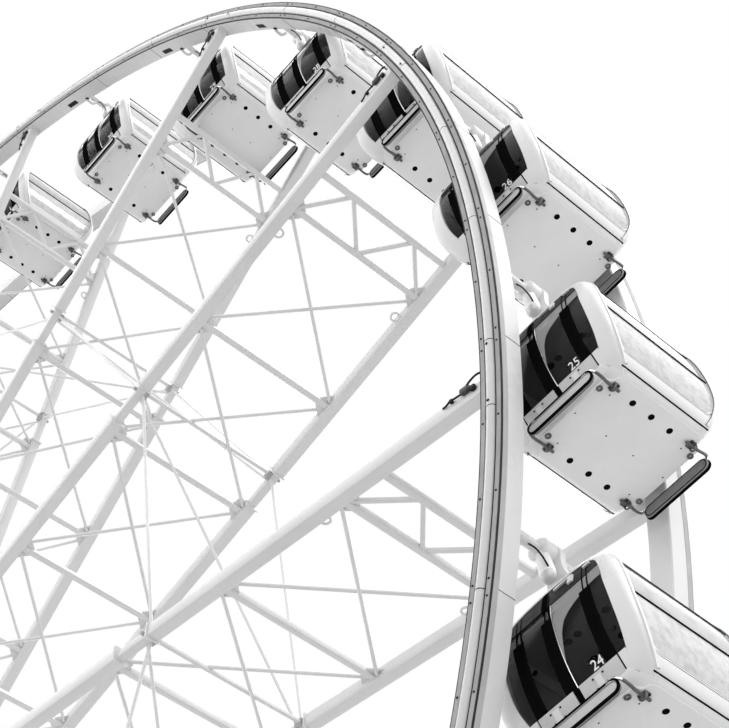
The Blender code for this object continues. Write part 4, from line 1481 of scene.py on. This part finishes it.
class WHEEL_OT_cabins(Operator):
    """Build the thirty cabins"""

    bl_idname = "wheel.cabins"
    bl_label = "Build cabins"

    def execute(self, context):
        cabin = Cabin(context.scene.wheel_cabins)
        shell, floor, glazing = shell_form(cabin), floor_form(cabin), glass_form(cabin)
        trim, bumpers = trim_form(cabin), bumper_form(cabin)
        for number, name in enumerate(CABINS, 1):
            place = PIVOTS[name]
            shell.piece(f"{name}_shell", name, "cabin_shell", (name,), None, place)
            floor.piece(f"{name}_floor", name, "cabin_shell", (), None, place)
            glazing.piece(f"{name}_glazing", name, "dark_glass", (), None, place)
            trim.piece(f"{name}_trim", name, "black_trim", (), None, place)
            bumpers.piece(f"{name}_bumpers", name, "dark_steel", (), None, place)
            label = number_shape((number + FIRST_NUMBER - 2) % len(CABINS) + 1)
            plate_form(cabin, label).piece(f"{name}_plates", name, "galvanised", (), None, place)
        return {"FINISHED"}


# Stage

class StageSizes(PropertyGroup):
    """Camera and light."""

    place: FloatVectorProperty(
        name="Camera place", description="Where the picture is taken from",
        default=(22.8454, -10.6298, 2.0452), subtype="TRANSLATION")
    turn: FloatVectorProperty(
        name="Camera turn", description="Camera angles about X, Y and Z",
        default=(radians(144.41435), radians(5.53442), radians(49.03594)), subtype="EULER")
    lens: FloatProperty(name="Lens", description="Focal length for a 36 mm wide sensor", default=91.855)
    shift_x: FloatProperty(name="Shift across", description="Lens shift to the right", default=0.1030)
    shift_y: FloatProperty(name="Shift up", description="Lens shift upwards", default=0.1296)
    sky: FloatProperty(name="Sky", description="Strength of the white surround", default=1.0)
    glare: FloatProperty(
        name="Glare", description="Strength of the surround in reflections", default=3.2)
    sun: FloatProperty(name="Sun", description="Strength of the soft key light", default=2.1)
    sun_size: FloatProperty(
        name="Sun size", description="Angle that the key light fills", default=radians(12), subtype="ANGLE")
    sun_turn: FloatVectorProperty(
        name="Sun turn", description="Key light's angles about X, Y and Z",
        default=(radians(-14.5), radians(38.3), 0), subtype="EULER")
    ground: FloatProperty(name="Floor", description="Radius of the floor", default=260.0, unit="LENGTH")


class WHEEL_OT_stage(Operator):
    """Set up the plain floor, the soft light and the camera"""

    bl_idname = "wheel.stage"
    bl_label = "Set up stage"

    def execute(self, context):
        sizes = context.scene.wheel_stage
        scene = context.scene
        camera = bpy.data.cameras.new("Camera")
        camera.sensor_width = 36.0
        camera.lens = sizes.lens
        camera.shift_x, camera.shift_y = sizes.shift_x, sizes.shift_y
        camera.clip_start, camera.clip_end = 0.1, 500.0
        viewer = bpy.data.objects.new("Camera", camera)
        viewer.location = sizes.place
        viewer.rotation_euler = sizes.turn
        scene.collection.objects.link(viewer)
        scene.camera = viewer
        scene.view_settings.view_transform = "Standard"
        world = bpy.data.worlds.new("Studio")
        world.use_nodes = True
        scene.world = world
        surround = world.node_tree.nodes["Background"]
        surround.inputs["Color"].default_value = (1, 1, 1, 1)
        path = world.node_tree.nodes.new("ShaderNodeLightPath")
        strength = chain(world.node_tree, "ShaderNodeMapRange", To_Min=sizes.sky, To_Max=sizes.glare)
        wire(
            world.node_tree,
            (path, "Is Glossy Ray", strength, "Value"), (strength, "Result", surround, "Strength"))
        sun = bpy.data.lights.new("Key", "SUN")
        sun.energy = sizes.sun
        sun.angle = sizes.sun_size
        key = bpy.data.objects.new("Key", sun)
        key.rotation_euler = sizes.sun_turn
        scene.collection.objects.link(key)
        ground = bpy.data.meshes.new("studio_floor")
        a = TURN * np.arange(64) / 64
        ring = points_of(sizes.ground * np.cos(a), sizes.ground * np.sin(a), -0.002)
        ground.from_pydata(ring.tolist(), [], [tuple(range(64))])
        floor = bpy.data.objects.new("studio_floor", ground)
        scene.collection.objects.link(floor)
        pale = finish("studio floor", 0.47, 0.45, (0.6, 0.8), 0.1, 0.3)
        ground.materials.append(pale)
        return {"FINISHED"}


class WHEEL_PT_panel(Panel):
    """Sidebar panel that lists the sizes and the steps"""

    bl_label = "Fairground Wheel"
    bl_idname = "WHEEL_PT_panel"
    bl_space_type = "VIEW_3D"
    bl_region_type = "UI"
    bl_category = "Fairground Wheel"

    def draw(self, context):
        layout = self.layout
        for group in GROUPS:
            box = layout.box()
            settings = getattr(context.scene, group)
            box.label(text=type(settings).__doc__)
            for name in type(settings).__annotations__:
                box.prop(settings, name)
        for operator in OPERATORS:
            layout.operator(operator.bl_idname)


GROUPS = {
    "wheel_colours": FinishColours,
    "wheel_rims": RimSizes,
    "wheel_spokes": SpokeSizes,
    "wheel_stand": StandSizes,
    "wheel_cabins": CabinSizes,
    "wheel_stage": StageSizes,
}
OPERATORS = (
    WHEEL_OT_finishes,
    WHEEL_OT_stage,
    WHEEL_OT_rims,
    WHEEL_OT_spokes,
    WHEEL_OT_stand,
    WHEEL_OT_cabins,
)


def register():
    """Register the settings, the operators and the panel."""
    for name, kind in GROUPS.items():
        bpy.utils.register_class(kind)
        setattr(bpy.types.Scene, name, PointerProperty(type=kind))
    for kind in OPERATORS + (WHEEL_PT_panel,):
        bpy.utils.register_class(kind)


def unregister():
    """Take back everything that register added."""
    for kind in reversed(OPERATORS + (WHEEL_PT_panel,)):
        bpy.utils.unregister_class(kind)
    for name, kind in GROUPS.items():
        delattr(bpy.types.Scene, name)
        bpy.utils.unregister_class(kind)


def main():
    """Build the dressed wheel."""
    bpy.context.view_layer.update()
    register()
    bpy.ops.wheel.finishes()
    bpy.ops.wheel.stage()
    bpy.ops.wheel.rims()
    bpy.ops.wheel.spokes()
    bpy.ops.wheel.stand()
    bpy.ops.wheel.cabins()


if __name__ == "__main__":
    main()
